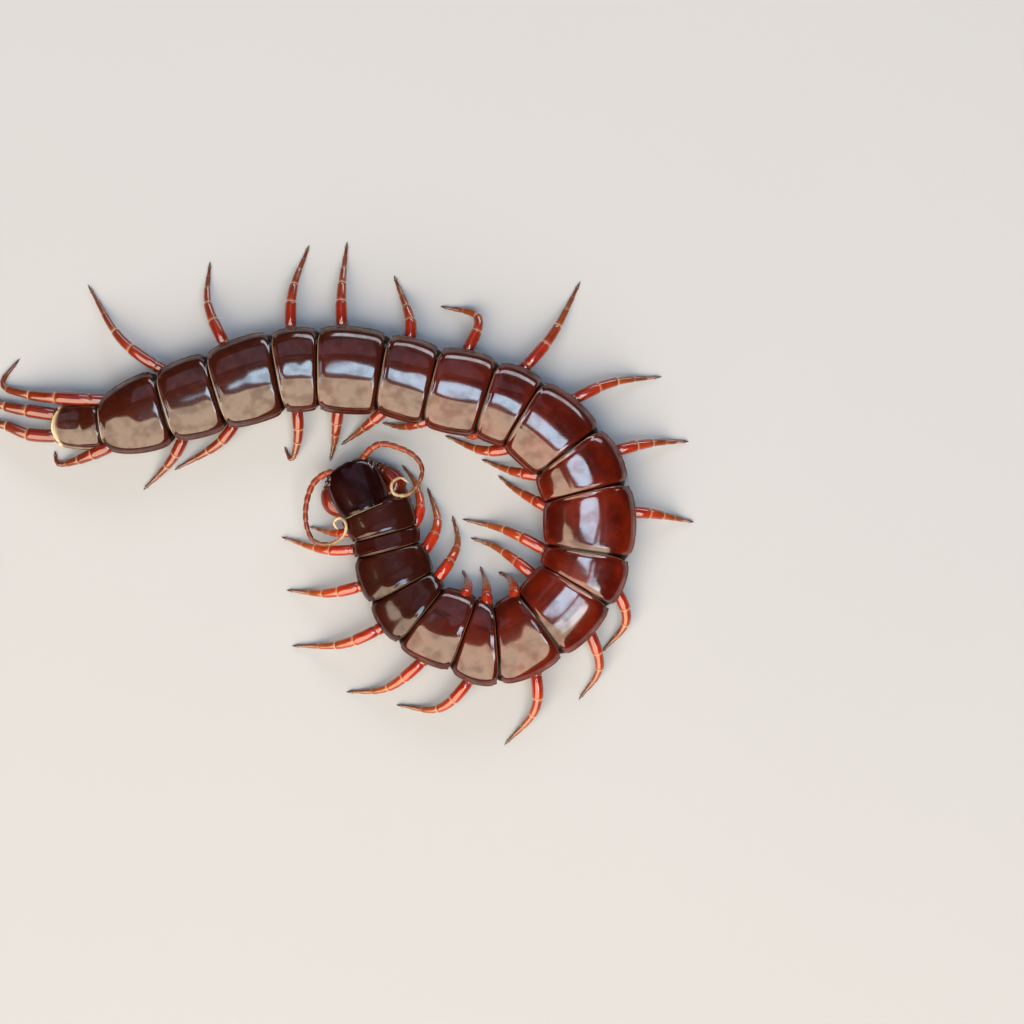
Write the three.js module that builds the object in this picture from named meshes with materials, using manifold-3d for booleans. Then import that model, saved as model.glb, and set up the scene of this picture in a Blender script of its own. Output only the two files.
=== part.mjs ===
// A giant centipede, life size, lying in a coil as a still model.
// Millimetres, +Z up, the floor at z = 0 and the origin under the middle of the animal.
import * as THREE from "three";
import { mergeVertices } from "three/addons/utils/BufferGeometryUtils.js";
import Module from "manifold-3d";

// Clearances
const GAP = 0.3; // air between one part and the next
const ROOM = 0.5; // added round the trunk and head before what grows from them is cut back
const BELLY_Z = 1.0; // the trunk's lowest line above the floor

// Trunk: a centre line from the rear of the head to the tail, with one point at each joint
const JOINTS = [
  [-21.5, 1.1], [-19.7, -3.3], [-19.3, -5.8], [-17.2, -11.5], [-14.2, -15.9], [-7.7, -18.9],
  [-2.6, -20.5], [4.2, -17.5], [9.8, -11.6], [11.7, -6.5], [11.6, 2.8], [8.8, 9.0],
  [2.0, 15.1], [-3.7, 17.5], [-12.2, 19.5], [-19.8, 21.4], [-29.8, 22.2], [-36.1, 21.7],
  [-45.6, 18.9], [-53.6, 16.4], [-63.7, 13.5], [-70.4, 13.3],
];
// Greatest width of each back plate, from the first to the twenty-first
const PLATE_WIDTHS = [
  11.2, 10.9, 11.8, 12.2, 12.7, 13.3, 13.0, 13.3, 13.6, 14.4, 13.9, 13.3, 12.8, 13.3, 12.9, 13.6, 13.2, 13.6,
  12.6, 11.5, 7.0,
];
const SEGMENTS = PLATE_WIDTHS.length;
const SEGMENTS_PER_LENGTH = 2;
const FRONT_WIDTH = 10.8; // where the first plate meets the head
const TAIL_WIDTH = 5.6; // rear edge of the last plate
const JOINT_SHARE = 0.92; // width of a joint as a share of the narrower plate beside it
const HEIGHT_BASE = 1.1; // trunk height = this + HEIGHT_SHARE of the plate's width
const HEIGHT_SHARE = 0.42;

// Right half of the trunk's section from the keel to the back: shares of half the width and of the height
const TRUNK_SECTION = [
  [0.0, 0.0], [0.4, 0.0], [0.66, 0.06], [0.81, 0.2], [0.84, 0.36], [0.95, 0.41], [1.0, 0.5], [0.93, 0.68],
  [0.76, 0.84], [0.42, 0.97], [0.0, 1.0],
];
// Along one segment: place as a share of its length, then the share of its full section there
const PLATE_STEPS = [
  { at: 0.0, size: 0.93 }, // soft band under the plate in front
  { at: 0.1, size: 0.94 },
  { at: 0.14, size: 0.985 }, // the plate's front edge
  { at: 0.5, size: 1.0 },
  { at: 0.86, size: 1.0 },
  { at: 0.94, size: 0.99 }, // the plate's rear edge
];

// Head, measured along its own axis from its rear edge
const HEAD_AXIS = [-0.39, -0.92]; // in photograph directions, x to the right and y down
const HEAD_SHIFT = -1.35; // to the right of the trunk's own middle: the head leans to the left
const HEAD_LENGTH = 7.6;
const HEAD_WIDTH = 8.5;
const HEAD_FLOOR_Z = 3.3; // underside
const HEAD_RIM_Z = 4.5; // the sharp side margin of the head plate
const HEAD_TOP_Z = 6.9;
const HEAD_STEPS = [
  { at: 0.0, wide: 0.86, tall: 0.84 },
  { at: 0.06, wide: 0.92, tall: 0.95 },
  { at: 0.3, wide: 1.0, tall: 1.0 },
  { at: 0.58, wide: 0.98, tall: 0.99 },
  { at: 0.78, wide: 0.9, tall: 0.93 },
  { at: 0.91, wide: 0.72, tall: 0.82 },
  { at: 0.98, wide: 0.48, tall: 0.68 },
  { at: 1.0, wide: 0.34, tall: 0.56 },
];
const EYE_RADIUS = 0.33;
const EYES = [[0.74, 0.9], [0.83, 0.85], [0.79, 0.98], [0.87, 0.93]]; // along the head, share of its half width there

// Venom claws and the plate between their roots
const THROAT_LENGTH = 4.6;
const THROAT_WIDTH = 6.2;
const THROAT_Z = [0.7, 2.9];
const CLAW_REACH = { left: 4.5, right: 5.4 }; // from the head's axis to the bend of each claw
const CLAW_RADII = [1.15, 1.3, 1.15, 0.85, 0.6, 0.35, 0.12];

// Feelers: routes over the floor with heights, from the root to the tip
const FEELER_ARTICLES = 18;
const FEELER_RADIUS = { root: 0.58, tip: 0.2 };
const FEELER_SPLIT = 9; // articles in the first of its two lengths
const FEELERS = {
  left: [
    [-26.4, 4.6, 4.4], [-28.0, 6.1, 4.5], [-30.5, 4.8, 4.6], [-31.8, 1.8, 4.6], [-31.9, -1.9, 4.5],
    [-30.7, -4.5, 4.4], [-28.0, -4.9, 4.7], [-25.9, -3.3, 5.6], [-25.9, -1.3, 6.0], [-27.3, -1.0, 5.7],
    [-27.4, -2.4, 5.3],
  ],
  right: [
    [-23.6, 6.2, 4.4], [-23.0, 8.5, 4.5], [-20.6, 10.5, 4.8], [-17.1, 9.8, 5.2], [-14.9, 8.5, 5.5],
    [-13.9, 6.6, 5.4], [-14.6, 4.2, 5.6], [-16.4, 2.6, 6.1], [-18.3, 2.8, 6.5], [-18.8, 4.2, 6.4],
    [-17.0, 5.2, 6.0],
  ],
};

// Legs: each one's bends and foot, from the trunk outwards
const LEGS = {
  left: [
    [[-27.3, -3.3], [-31.6, -2.3]], [[-29.0, -5.9], [-36.0, -3.9]], [[-28.5, -12.6], [-35.2, -12.2]],
    [[-26.2, -20.5], [-34.4, -20.9]], [[-19.5, -27.4], [-25.9, -28.1]], [[-11.2, -30.5], [-18.1, -30.1]],
    [[3.7, -30.4], [-1.2, -36.4]], [[13.6, -24.2], [10.4, -29.3]], [[17.8, -16.7], [13.9, -22.0]],
    [[21.4, -0.2], [28.4, -1.6]], [[21.4, 10.7], [27.6, 11.0]], [[15.5, 20.1], [23.4, 21.1]],
    [[5.9, 27.0], [10.7, 36.0]], [[-5.3, 30.2], [-11.2, 32.1]], [[-15.7, 29.0], [-18.4, 36.9]],
    [[-26.5, 34.4], [-25.7, 42.2]], [[-34.1, 34.4], [-31.6, 41.7]], [[-47.3, 32.4], [-47.1, 39.1]],
    [[-60.6, 26.7], [-66.2, 35.5]], [[-75.9, 18.4], [-79.4, 19.9], [-76.7, 24.0]],
    [[-74.2, 15.6], [-79.6, 16.7], [-86.6, 19.6]],
  ],
  right: [
    [[-16.2, 1.6], [-16.9, 4.2]], [[-14.3, 0.0], [-14.9, 4.2], [-17.2, 7.4]], [[-11.6, -1.9], [-13.2, 3.9]],
    [[-8.5, -5.1], [-9.3, -0.5]], [[-6.8, -11.3], [-7.8, -9.0]], [[-4.0, -11.3], [-5.0, -8.4]],
    [[0.0, -10.8], [-2.2, -9.3]], [[-2.3, -5.6], [-6.5, -4.0]], [[-1.1, -2.8], [-7.8, -1.1]],
    [[0.3, 3.7], [-2.2, 5.7]], [[0.0, 6.4], [-4.8, 8.2]], [[-3.9, 9.5], [-10.5, 11.9]],
    [[-6.2, 11.9], [-8.6, 12.7]], [[-16.7, 13.3], [-20.3, 13.9]], [[-22.9, 13.2], [-26.7, 10.4]],
    [[-27.6, 11.2], [-28.4, 7.9]], [[-33.3, 11.5], [-34.4, 8.2], [-35.5, 10.2]], [[-45.0, 11.2], [-52.7, 6.5]],
    [[-52.7, 8.4], [-57.5, 3.4]], [[-68.2, 7.9], [-70.8, 7.6], [-71.3, 9.6]],
    [[-75.2, 12.1], [-79.4, 13.6], [-87.0, 13.4]],
  ],
};
const LEG_RADIUS = 0.98; // at the far end of the first long joint
const STOUT_LEGS = { 1: 0.8, 2: 0.9, 20: 1.15, 21: 1.15 }; // thickness against the others
const LEG_ROOT_AT = 0.66; // along its segment
const LEG_ROOT_OUT = 0.55; // share of half the trunk's width
const LEG_ROOT_Z = 2.9;
const LEG_ARCH = 0.9; // how high the middle of a leg is lifted
const TUCKED_LEGS = { right: { 1: -0.9, 4: 1.2, 5: 1.6, 6: 1.6, 7: 1.6 } }; // arch added to folded legs
const FOOT_Z = 0.3;
const TAIL_LEG_ROOT = { at: 0.5, out: 0.42, z: 2.3 };
// Joints of a leg: share of its length, and thickness at the far end as a share of LEG_RADIUS
const LEG_JOINTS = [
  { length: 0.2, thick: 0.95 }, // hip
  { length: 0.22, thick: 1.0 },
  { length: 0.18, thick: 0.86 },
  { length: 0.16, thick: 0.7 },
  { length: 0.11, thick: 0.52 },
  { length: 0.08, thick: 0.42 },
  { length: 0.05, thick: 0.14 }, // claw
];
const LEG_CREASE = 0.012; // share of a leg's length over which it narrows again at a joint
const FOOT_THICK = 0.45; // joints thinner than this taper with no waist
const WAIST = 0.84; // thickness at the near end of a joint against its far end
const LEG_SIDES = 6;
const FEELER_SIDES = 6;
const CLAW_SIDES = 10;

const FINISHES = {
  trunk: { color: 0x2a0d09, roughness: 0.22, metalness: 0 },
  head: { color: 0x1d0807, roughness: 0.25, metalness: 0 },
  leg: { color: 0xa0280f, roughness: 0.3, metalness: 0 },
  claw: { color: 0x6e1a0c, roughness: 0.28, metalness: 0 },
  feeler: { color: 0xb07a45, roughness: 0.4, metalness: 0 },
};

const wasm = await Module();
wasm.setup();
const UP = new THREE.Vector3(0, 0, 1);

// Solids

// A closed solid skinned over a stack of rings, each a list of points counter-clockwise seen from behind.
function skin(rings) {
  const sides = rings[0].length;
  const faces = [];
  for (let i = 0; i + 1 < rings.length; i++)
    for (let k = 0; k < sides; k++) {
      const here = i * sides + k;
      const next = i * sides + ((k + 1) % sides);
      faces.push(here, next + sides, next, here, here + sides, next + sides);
    }
  const points = rings.flat();
  const last = (rings.length - 1) * sides;
  [[rings[0], 0, false], [rings.at(-1), last, true]].forEach(([ring, first, isFar]) => {
    const middle = ring.reduce((sum, p) => sum.clone().add(p), new THREE.Vector3()).divideScalar(sides);
    points.push(middle);
    for (let k = 0; k < sides; k++) {
      const a = first + k;
      const b = first + ((k + 1) % sides);
      faces.push(points.length - 1, ...(isFar ? [b, a] : [a, b]));
    }
  });
  return solidOf(points.flatMap((p) => p.toArray()), faces);
}

function solidOf(coordinates, faces) {
  return new wasm.Manifold(
    new wasm.Mesh({
      numProp: 3,
      vertProperties: new Float32Array(coordinates),
      triVerts: new Uint32Array(faces),
    }),
  );
}

// A three.js geometry as a solid.
function solidFrom(geometry) {
  const bare = geometry.clone();
  bare.deleteAttribute("normal");
  bare.deleteAttribute("uv");
  const merged = mergeVertices(bare, 1e-4);
  return solidOf(merged.attributes.position.array, merged.index.array);
}

// The largest closed surface of a solid.
function largest(solid) {
  return solid.decompose().sort((a, b) => b.volume() - a.volume())[0];
}

function meshOf(solid, name, finish) {
  const made = largest(solid).getMesh();
  const geometry = new THREE.BufferGeometry();
  geometry.setAttribute("position", new THREE.BufferAttribute(made.vertProperties, made.numProp));
  geometry.setIndex(new THREE.BufferAttribute(made.triVerts, 1));
  geometry.computeVertexNormals();
  const mesh = new THREE.Mesh(geometry, new THREE.MeshStandardMaterial(finish));
  mesh.name = name;
  return mesh;
}

// Rings of a tube along a route of 3-D points, with its radius at each of the given shares of the route.
function tubeRings(route, stops, sides) {
  return stops.map(({ at, radius }) => {
    const centre = route.getPointAt(at);
    const along = route.getTangentAt(at);
    const side = along.clone().cross(UP).normalize();
    const up = side.clone().cross(along);
    return Array.from({ length: sides }, (_, k) => {
      const angle = (2 * Math.PI * (k + 0.5)) / sides;
      const point = centre.clone().addScaledVector(side, radius * Math.cos(angle));
      return point.addScaledVector(up, radius * Math.sin(angle));
    });
  });
}

const smooth = (low, high, x) => THREE.MathUtils.smoothstep(x, low, high);

// Trunk

const spine = new THREE.CatmullRomCurve3(JOINTS.map(([x, y]) => new THREE.Vector3(x, y, 0)), false, "centripetal");

// Place, heading and right-hand side at a share of one segment, counted from 0. The heading turns evenly.
function station(segment, share) {
  const rear = spine.getTangent((segment + 1) / SEGMENTS);
  const along = spine.getTangent(segment / SEGMENTS).lerp(rear, share).normalize();
  return { centre: spine.getPoint((segment + share) / SEGMENTS), along, side: along.clone().cross(UP) };
}

function jointWidth(joint) {
  if (joint === 0) return FRONT_WIDTH;
  if (joint === SEGMENTS) return TAIL_WIDTH;
  return JOINT_SHARE * Math.min(PLATE_WIDTHS[joint - 1], PLATE_WIDTHS[joint]);
}

// Half the width and the full height of the trunk at a share of one segment, before the steps of its plates.
function trunkSize(segment, share) {
  const front = jointWidth(segment);
  const rear = jointWidth(segment + 1);
  const bulge = PLATE_WIDTHS[segment] - (front + rear) / 2;
  const width = front + (rear - front) * share + bulge * Math.sqrt(4 * share * (1 - share));
  const neighbour = PLATE_WIDTHS[share < 0.5 ? Math.max(segment - 1, 0) : Math.min(segment + 1, SEGMENTS - 1)];
  const level = PLATE_WIDTHS[segment] + (neighbour - PLATE_WIDTHS[segment]) * Math.abs(share - 0.5);
  return { half: width / 2, height: HEIGHT_BASE + HEIGHT_SHARE * level };
}

function trunkRing(segment, share, size, grow = 0) {
  const { centre, side } = station(segment, share);
  const { half, height } = trunkSize(segment, share);
  const point = ([x, z], mirror) => {
    const out = mirror * x * (half * size + grow * 1.15);
    const rise = (z - 0.5) * (height * size + 2 * grow) + 0.5 * height;
    return centre.clone().addScaledVector(side, out).setZ(BELLY_Z + rise);
  };
  const right = TRUNK_SECTION.map((p) => point(p, 1));
  const left = TRUNK_SECTION.slice(1, -1).reverse().map((p) => point(p, -1));
  return [...right, ...left];
}

// Rings from the front of one segment to the rear of another, with a little cut off or added at both ends.
function trunkRings(first, last, { inset = 0, grow = 0 }) {
  const rings = [];
  for (let segment = first; segment <= last; segment++)
    for (const { at, size } of PLATE_STEPS) {
      const isEnd = segment === first && at === 0;
      rings.push(trunkRing(segment, at, size, grow));
      if (isEnd) slide(rings.at(-1), station(segment, 0).along, inset);
    }
  const end = trunkRing(last, 1, PLATE_STEPS[0].size, grow);
  rings.push(slide(end, station(last, 1).along, -inset));
  return rings;
}

function slide(ring, along, distance) {
  ring.forEach((p) => p.addScaledVector(along, distance));
  return ring;
}

const trunkRoom = skin(trunkRings(0, SEGMENTS - 1, { inset: -GAP, grow: ROOM }));

// Head

const headAlong = new THREE.Vector3(HEAD_AXIS[0], -HEAD_AXIS[1], 0).normalize();
const headSide = headAlong.clone().cross(UP);
const headRear = new THREE.Vector3(...JOINTS[0], 0).addScaledVector(headSide, HEAD_SHIFT);

// A point from its distance along the head's axis, to the right of it, and above the floor.
function headPoint(along, right, z) {
  return headRear.clone().addScaledVector(headAlong, along).addScaledVector(headSide, right).setZ(z);
}

// The head's section: a domed plate with a sharp rim over a flatter underside.
function headRing({ at, wide, tall }, grow = 0) {
  const half = (HEAD_WIDTH / 2) * wide + grow;
  const dome = (HEAD_TOP_Z - HEAD_RIM_Z) * tall + grow;
  const under = (HEAD_RIM_Z - HEAD_FLOOR_Z) * tall + grow;
  const steps = 9;
  const along = THREE.MathUtils.lerp(GAP / 2 - grow, HEAD_LENGTH + grow, at);
  return Array.from({ length: 2 * steps }, (_, k) => {
    const angle = (Math.PI * k) / steps;
    const isDome = k <= steps;
    const rise = isDome ? dome * Math.sin(angle) : -under * Math.abs(Math.sin(angle)) ** 0.5;
    return headPoint(along, half * Math.cos(angle), HEAD_RIM_Z + rise);
  });
}

// Half the head's width and its dome's height at a share of its length.
function headSize(at) {
  const after = HEAD_STEPS.findIndex((step) => step.at > at);
  const [near, far] = [HEAD_STEPS[after - 1], HEAD_STEPS[after]];
  const mix = (at - near.at) / (far.at - near.at);
  const wide = THREE.MathUtils.lerp(near.wide, far.wide, mix);
  const tall = THREE.MathUtils.lerp(near.tall, far.tall, mix);
  return { half: (HEAD_WIDTH / 2) * wide, dome: (HEAD_TOP_Z - HEAD_RIM_Z) * tall };
}

function makeHead() {
  let head = skin(HEAD_STEPS.map((step) => headRing(step)));
  for (const [at, out] of EYES)
    for (const mirror of [-1, 1]) {
      const { half, dome } = headSize(at);
      const z = HEAD_RIM_Z + dome * Math.sqrt(1 - out * out) - 0.05;
      const eye = new THREE.IcosahedronGeometry(EYE_RADIUS, 0);
      eye.translate(...headPoint(at * HEAD_LENGTH, mirror * out * half, z).toArray());
      head = head.add(solidFrom(eye));
    }
  return head;
}

const headRoom = skin(HEAD_STEPS.map((step) => headRing(step, GAP)));

// The plate under the head, from which the venom claws grow. It is one with the first segment.
function throatSolid(grow = 0) {
  const [low, high] = THROAT_Z;
  const stops = [[-2.0, 1.0], [1.2, 1.0], [3.2, 0.86], [THROAT_LENGTH + grow, 0.6]];
  const middle = (low + high) / 2;
  const rings = stops.map(([along, wide]) =>
    Array.from({ length: 12 }, (_, k) => {
      const angle = (2 * Math.PI * k) / 12;
      const half = (THROAT_WIDTH / 2) * wide + grow;
      const out = half * Math.sign(Math.cos(angle)) * Math.abs(Math.cos(angle)) ** 0.7;
      return headPoint(along, out, middle + ((high - low) / 2 + grow) * Math.sin(angle));
    }),
  );
  return skin(rings);
}

function makeVenomClaw(name, mirror) {
  const reach = CLAW_REACH[name];
  const places = [
    [0.9, 1.6, 1.9], [1.5, reach - 1.2, 1.9], [3.1, reach, 1.9], [5.2, reach - 0.7, 1.8],
    [6.9, reach - 2.3, 1.7], [7.6, reach - 3.5, 1.5], [7.6, 0.3, 1.3],
  ];
  const route = new THREE.CatmullRomCurve3(places.map(([a, r, z]) => headPoint(a, mirror * r, z)), false, "centripetal");
  const stops = CLAW_RADII.map((radius, i) => ({ at: i / (CLAW_RADII.length - 1), radius }));
  const claw = skin(tubeRings(route, stops, CLAW_SIDES));
  return claw.subtract(headRoom).subtract(throatRoom).subtract(trunkRoom);
}

// Feelers

function feelerStops(first, last) {
  const stops = [];
  for (let article = first; article < last; article++) {
    const thick = (share) =>
      THREE.MathUtils.lerp(FEELER_RADIUS.root, FEELER_RADIUS.tip, (article + share) / FEELER_ARTICLES);
    stops.push({ at: (article + 0.08) / FEELER_ARTICLES, radius: WAIST * thick(0) });
    stops.push({ at: (article + 0.7) / FEELER_ARTICLES, radius: thick(0.7) });
  }
  return stops;
}

function makeFeeler(name, part) {
  const route = new THREE.CatmullRomCurve3(FEELERS[name].map((p) => new THREE.Vector3(...p)), false, "centripetal");
  route.arcLengthDivisions = 400;
  const stops = part === "base" ? feelerStops(0, FEELER_SPLIT) : feelerStops(FEELER_SPLIT, FEELER_ARTICLES);
  const gapShare = GAP / route.getLength();
  if (part === "base") stops.at(-1).at = FEELER_SPLIT / FEELER_ARTICLES - gapShare / 2;
  else stops[0].at = FEELER_SPLIT / FEELER_ARTICLES + gapShare / 2;
  return skin(tubeRings(route, stops, FEELER_SIDES)).subtract(headRoom);
}

// Legs

function legHeight(share, root, arch) {
  const settle = 1 - smooth(0.15, 0.92, share);
  const lift = arch * Math.sin(Math.PI * Math.min(share / 0.8, 1));
  const height = FOOT_Z + (root - FOOT_Z) * settle + lift;
  const claw = smooth(0.94, 1, share);
  return THREE.MathUtils.lerp(height, LEG_RADIUS * LEG_JOINTS.at(-1).thick, claw);
}

function legRoute(sideName, number) {
  const mirror = sideName === "left" ? 1 : -1; // the trunk is measured towards the tail
  const segment = number - 1;
  const isTail = number === SEGMENTS;
  const { at, out, z } = isTail ? TAIL_LEG_ROOT : { at: LEG_ROOT_AT, out: LEG_ROOT_OUT, z: LEG_ROOT_Z };
  const { centre, side } = station(segment, at);
  const { half } = trunkSize(segment, at);
  const root = centre.clone().addScaledVector(side, mirror * out * half);
  const plan = new THREE.CatmullRomCurve3(
    [root, ...LEGS[sideName][segment].map(([x, y]) => new THREE.Vector3(x, y, 0))],
    false,
    "centripetal",
  );
  const arch = LEG_ARCH + (TUCKED_LEGS[sideName]?.[number] ?? 0);
  const points = Array.from({ length: 25 }, (_, i) => {
    const share = i / 24;
    return plan.getPointAt(share).setZ(legHeight(share, z, isTail ? 0.2 : arch));
  });
  return new THREE.CatmullRomCurve3(points);
}

function legStops(stout) {
  const stops = [];
  let at = 0;
  for (const { length, thick } of LEG_JOINTS) {
    const radius = LEG_RADIUS * stout * thick;
    if (thick > FOOT_THICK) stops.push({ at, radius: WAIST * radius });
    at += length;
    stops.push({ at: Math.min(at - LEG_CREASE, 1), radius });
  }
  stops.at(-1).at = 1;
  return stops;
}

function makeLeg(sideName, number) {
  const rings = tubeRings(legRoute(sideName, number), legStops(STOUT_LEGS[number] ?? 1), LEG_SIDES);
  rings.flat().forEach((p) => p.setZ(Math.max(p.z, 0)));
  return skin(rings).subtract(trunkRoom);
}

// The whole animal

const throatRoom = throatSolid(GAP);
const animal = new THREE.Group();
const twoDigits = (n) => String(n).padStart(2, "0");

for (let first = 0; first < SEGMENTS; first += SEGMENTS_PER_LENGTH) {
  const last = Math.min(first + SEGMENTS_PER_LENGTH, SEGMENTS) - 1;
  const name = ["trunk", ...new Set([twoDigits(first + 1), twoDigits(last + 1)])].join("_");
  let length = skin(trunkRings(first, last, { inset: GAP / 2 }));
  if (first === 0) length = length.add(throatSolid());
  animal.add(meshOf(length, name, FINISHES.trunk));
}
animal.add(meshOf(makeHead(), "head", FINISHES.head));
for (const [name, mirror] of [["left", -1], ["right", 1]]) {
  animal.add(meshOf(makeVenomClaw(name, mirror), "venom_claw_" + name, FINISHES.claw));
  for (const part of ["base", "tip"])
    animal.add(meshOf(makeFeeler(name, part), "antenna_" + name + "_" + part, FINISHES.feeler));
  for (let number = 1; number <= SEGMENTS; number++)
    animal.add(meshOf(makeLeg(name, number), "leg_" + name + "_" + twoDigits(number), FINISHES.leg));
}

const box = new THREE.Box3().setFromObject(animal);
const middle = box.getCenter(new THREE.Vector3());
animal.position.set(-middle.x, -middle.y, -box.min.z);

export default animal;
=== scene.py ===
"""A giant centipede, life size, lying in a coil round its own head on a plain pale floor.

Sizes are in millimetres, measured from the middle of the view, until a mesh is made from them.
"""
import logging
import math
from collections.abc import Iterable, Sequence
from dataclasses import dataclass, field
from enum import Enum
from functools import cached_property
from itertools import product

import bpy
import numpy as np
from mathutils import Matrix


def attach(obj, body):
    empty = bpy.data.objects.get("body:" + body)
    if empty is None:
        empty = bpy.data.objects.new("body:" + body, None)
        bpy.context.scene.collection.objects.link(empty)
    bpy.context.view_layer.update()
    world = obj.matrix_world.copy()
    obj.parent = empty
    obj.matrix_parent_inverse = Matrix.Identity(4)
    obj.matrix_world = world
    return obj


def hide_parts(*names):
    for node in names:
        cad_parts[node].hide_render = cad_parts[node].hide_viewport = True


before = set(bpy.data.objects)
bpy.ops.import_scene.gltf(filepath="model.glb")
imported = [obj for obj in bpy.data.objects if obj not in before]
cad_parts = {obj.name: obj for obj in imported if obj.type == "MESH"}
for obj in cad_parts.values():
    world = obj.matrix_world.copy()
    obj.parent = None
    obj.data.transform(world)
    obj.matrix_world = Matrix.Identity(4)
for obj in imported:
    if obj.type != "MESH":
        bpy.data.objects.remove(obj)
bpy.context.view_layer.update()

log = logging.getLogger("centipede")

MM = 0.001
PLACE = np.array([29.292, -2.869, 0.0])  # from the middle of the view to the middle of the animal's box
BODY = "root"
UP = np.array([0.0, 0.0, 1.0])

Colour = tuple[float, float, float]
Point = tuple[float, float, float]
Span = tuple[float, float]
Stops = Sequence[tuple[float, float]]
Ridges = tuple[tuple[float, float, float], ...]  # the middle, width and height of each
Number = np.ndarray | float
Marks = dict[str, np.ndarray]
Place = tuple[float, float, float, Point]  # shares of a segment's length, half width and height, and sizes
Spot = tuple[np.ndarray, np.ndarray, Sequence[float]]  # a copy's place, direction and three sizes
Socket = bpy.types.NodeSocket


class Side(Enum):
    """A side of the animal. The trunk is measured towards the tail, so its left is positive."""

    LEFT = 1
    RIGHT = -1

    @property
    def word(self) -> str:
        """The side's name in the names of pieces."""
        return self.name.lower()


class PlateKind(Enum):
    """The kinds of back plate, with their shares of the rims, lip and waves."""

    FRONT = (0.25, 1.0, 0.4, False)
    MIDDLE = (1.0, 1.0, 1.0, True)
    LAST = (1.5, 1.6, 1.0, False)

    def __init__(self, rim: float, lip: float, wave: float, has_sutures: bool) -> None:
        """Names the shares."""
        self.rim, self.lip, self.wave, self.has_sutures = rim, lip, wave, has_sutures


# Curves and grids


def eased(x: Number, stops: Stops) -> np.ndarray:
    """A smooth curve through stops that never overshoots them.

    Args:
        x: Where it is read.
        stops: Pairs of place and value, in order.

    Returns:
        The value at each x.
    """
    xs, ys = np.array(stops, float).T
    width = np.diff(xs)
    rise = np.diff(ys) / width
    slope = np.zeros_like(ys)
    turns = rise[:-1] * rise[1:] > 0
    slope[1:-1][turns] = 2 / (1 / rise[:-1][turns] + 1 / rise[1:][turns])
    i = np.clip(np.searchsorted(xs, x, side="right") - 1, 0, len(width) - 1)
    t = np.clip((x - xs[i]) / width[i], 0, 1)
    climb = ys[i] + (ys[i + 1] - ys[i]) * (3 * t**2 - 2 * t**3)
    return climb + width[i] * (slope[i] * (t**3 - 2 * t**2 + t) + slope[i + 1] * (t**3 - t**2))


def step(low: float, high: float, x: Number) -> Number:
    """0 below low, 1 above high and a smooth rise between."""
    t = np.clip((x - low) / (high - low), 0, 1)
    return t * t * (3 - 2 * t)


def bead(x: Number, middle: Number, width: float) -> Number:
    """A rounded ridge of height 1 across x."""
    return np.exp(-(((x - middle) / width) ** 2))


def relief(x: Number, ridges: Ridges) -> Number:
    """The height of rounded ridges and grooves across x."""
    return sum(height * bead(x, middle, width) for middle, width, height in ridges)


def unit(v: np.ndarray) -> np.ndarray:
    """Vectors at length 1."""
    return v / np.linalg.norm(v, axis=-1, keepdims=True)


def signed_power(x: Number, power: float) -> Number:
    """A power of x's size, with the sign of x."""
    return np.sign(x) * np.abs(x) ** power


def around(sides: int) -> np.ndarray:
    """Even angles round a circle."""
    return np.linspace(0, math.tau, sides, endpoint=False)


def crowded(count: int, ends: float) -> np.ndarray:
    """Numbers from 0 to 1, closer together at both ends."""
    even = np.linspace(0, 1, count)
    return even - ends * np.sin(math.tau * even)


class Route:
    """A smooth centripetal curve through points, read by its parameter or by its length."""

    def __init__(self, points: Sequence[Sequence[float]]) -> None:
        """Measures the curve.

        Args:
            points: What it passes through, in order.
        """
        inner = np.array(points, float)
        self.spans = len(inner) - 1
        self.points = np.vstack([2 * inner[0] - inner[1], inner, 2 * inner[-1] - inner[-2]])
        self.fine = np.linspace(0, 1, 60 * self.spans + 1)
        steps = np.linalg.norm(np.diff(self.at(self.fine), axis=0), axis=1)
        self.lengths = np.concatenate([[0], np.cumsum(steps)])

    def at(self, t: Number) -> np.ndarray:
        """Reads the curve by its parameter.

        Args:
            t: From 0 to 1, evenly shared between the given points.

        Returns:
            Points.
        """
        t = np.atleast_1d(t) * self.spans
        i = np.clip(np.floor(t).astype(int), 0, self.spans - 1)
        w = (t - i)[:, None]
        a, b, c, d = (self.points[i + k] for k in range(4))
        ab, bc, cd = (np.sqrt(np.linalg.norm(q - p, axis=1))[:, None] for p, q in ((a, b), (b, c), (c, d)))
        start = ((b - a) / ab - (c - a) / (ab + bc) + (c - b) / bc) * bc
        end = ((c - b) / bc - (d - b) / (bc + cd) + (d - c) / cd) * bc
        return b + start * w + (3 * (c - b) - 2 * start - end) * w**2 + (2 * (b - c) + start + end) * w**3

    def heading(self, t: float, near: float = 1e-4) -> np.ndarray:
        """The curve's unit direction at a parameter."""
        return unit(self.at(min(t + near, 1)) - self.at(max(t - near, 0)))

    def by_length(self, share: Number) -> np.ndarray:
        """Points at shares of the curve's length."""
        return self.at(np.interp(np.atleast_1d(share) * self.lengths[-1], self.lengths, self.fine))


@dataclass
class Shape:
    """A surface or a path in millimetres, with named numbers at its points."""

    points: np.ndarray
    faces: Sequence[Sequence[int]] = ()
    marks: Marks = field(default_factory=dict)
    edges: Sequence[Sequence[int]] = ()


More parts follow.
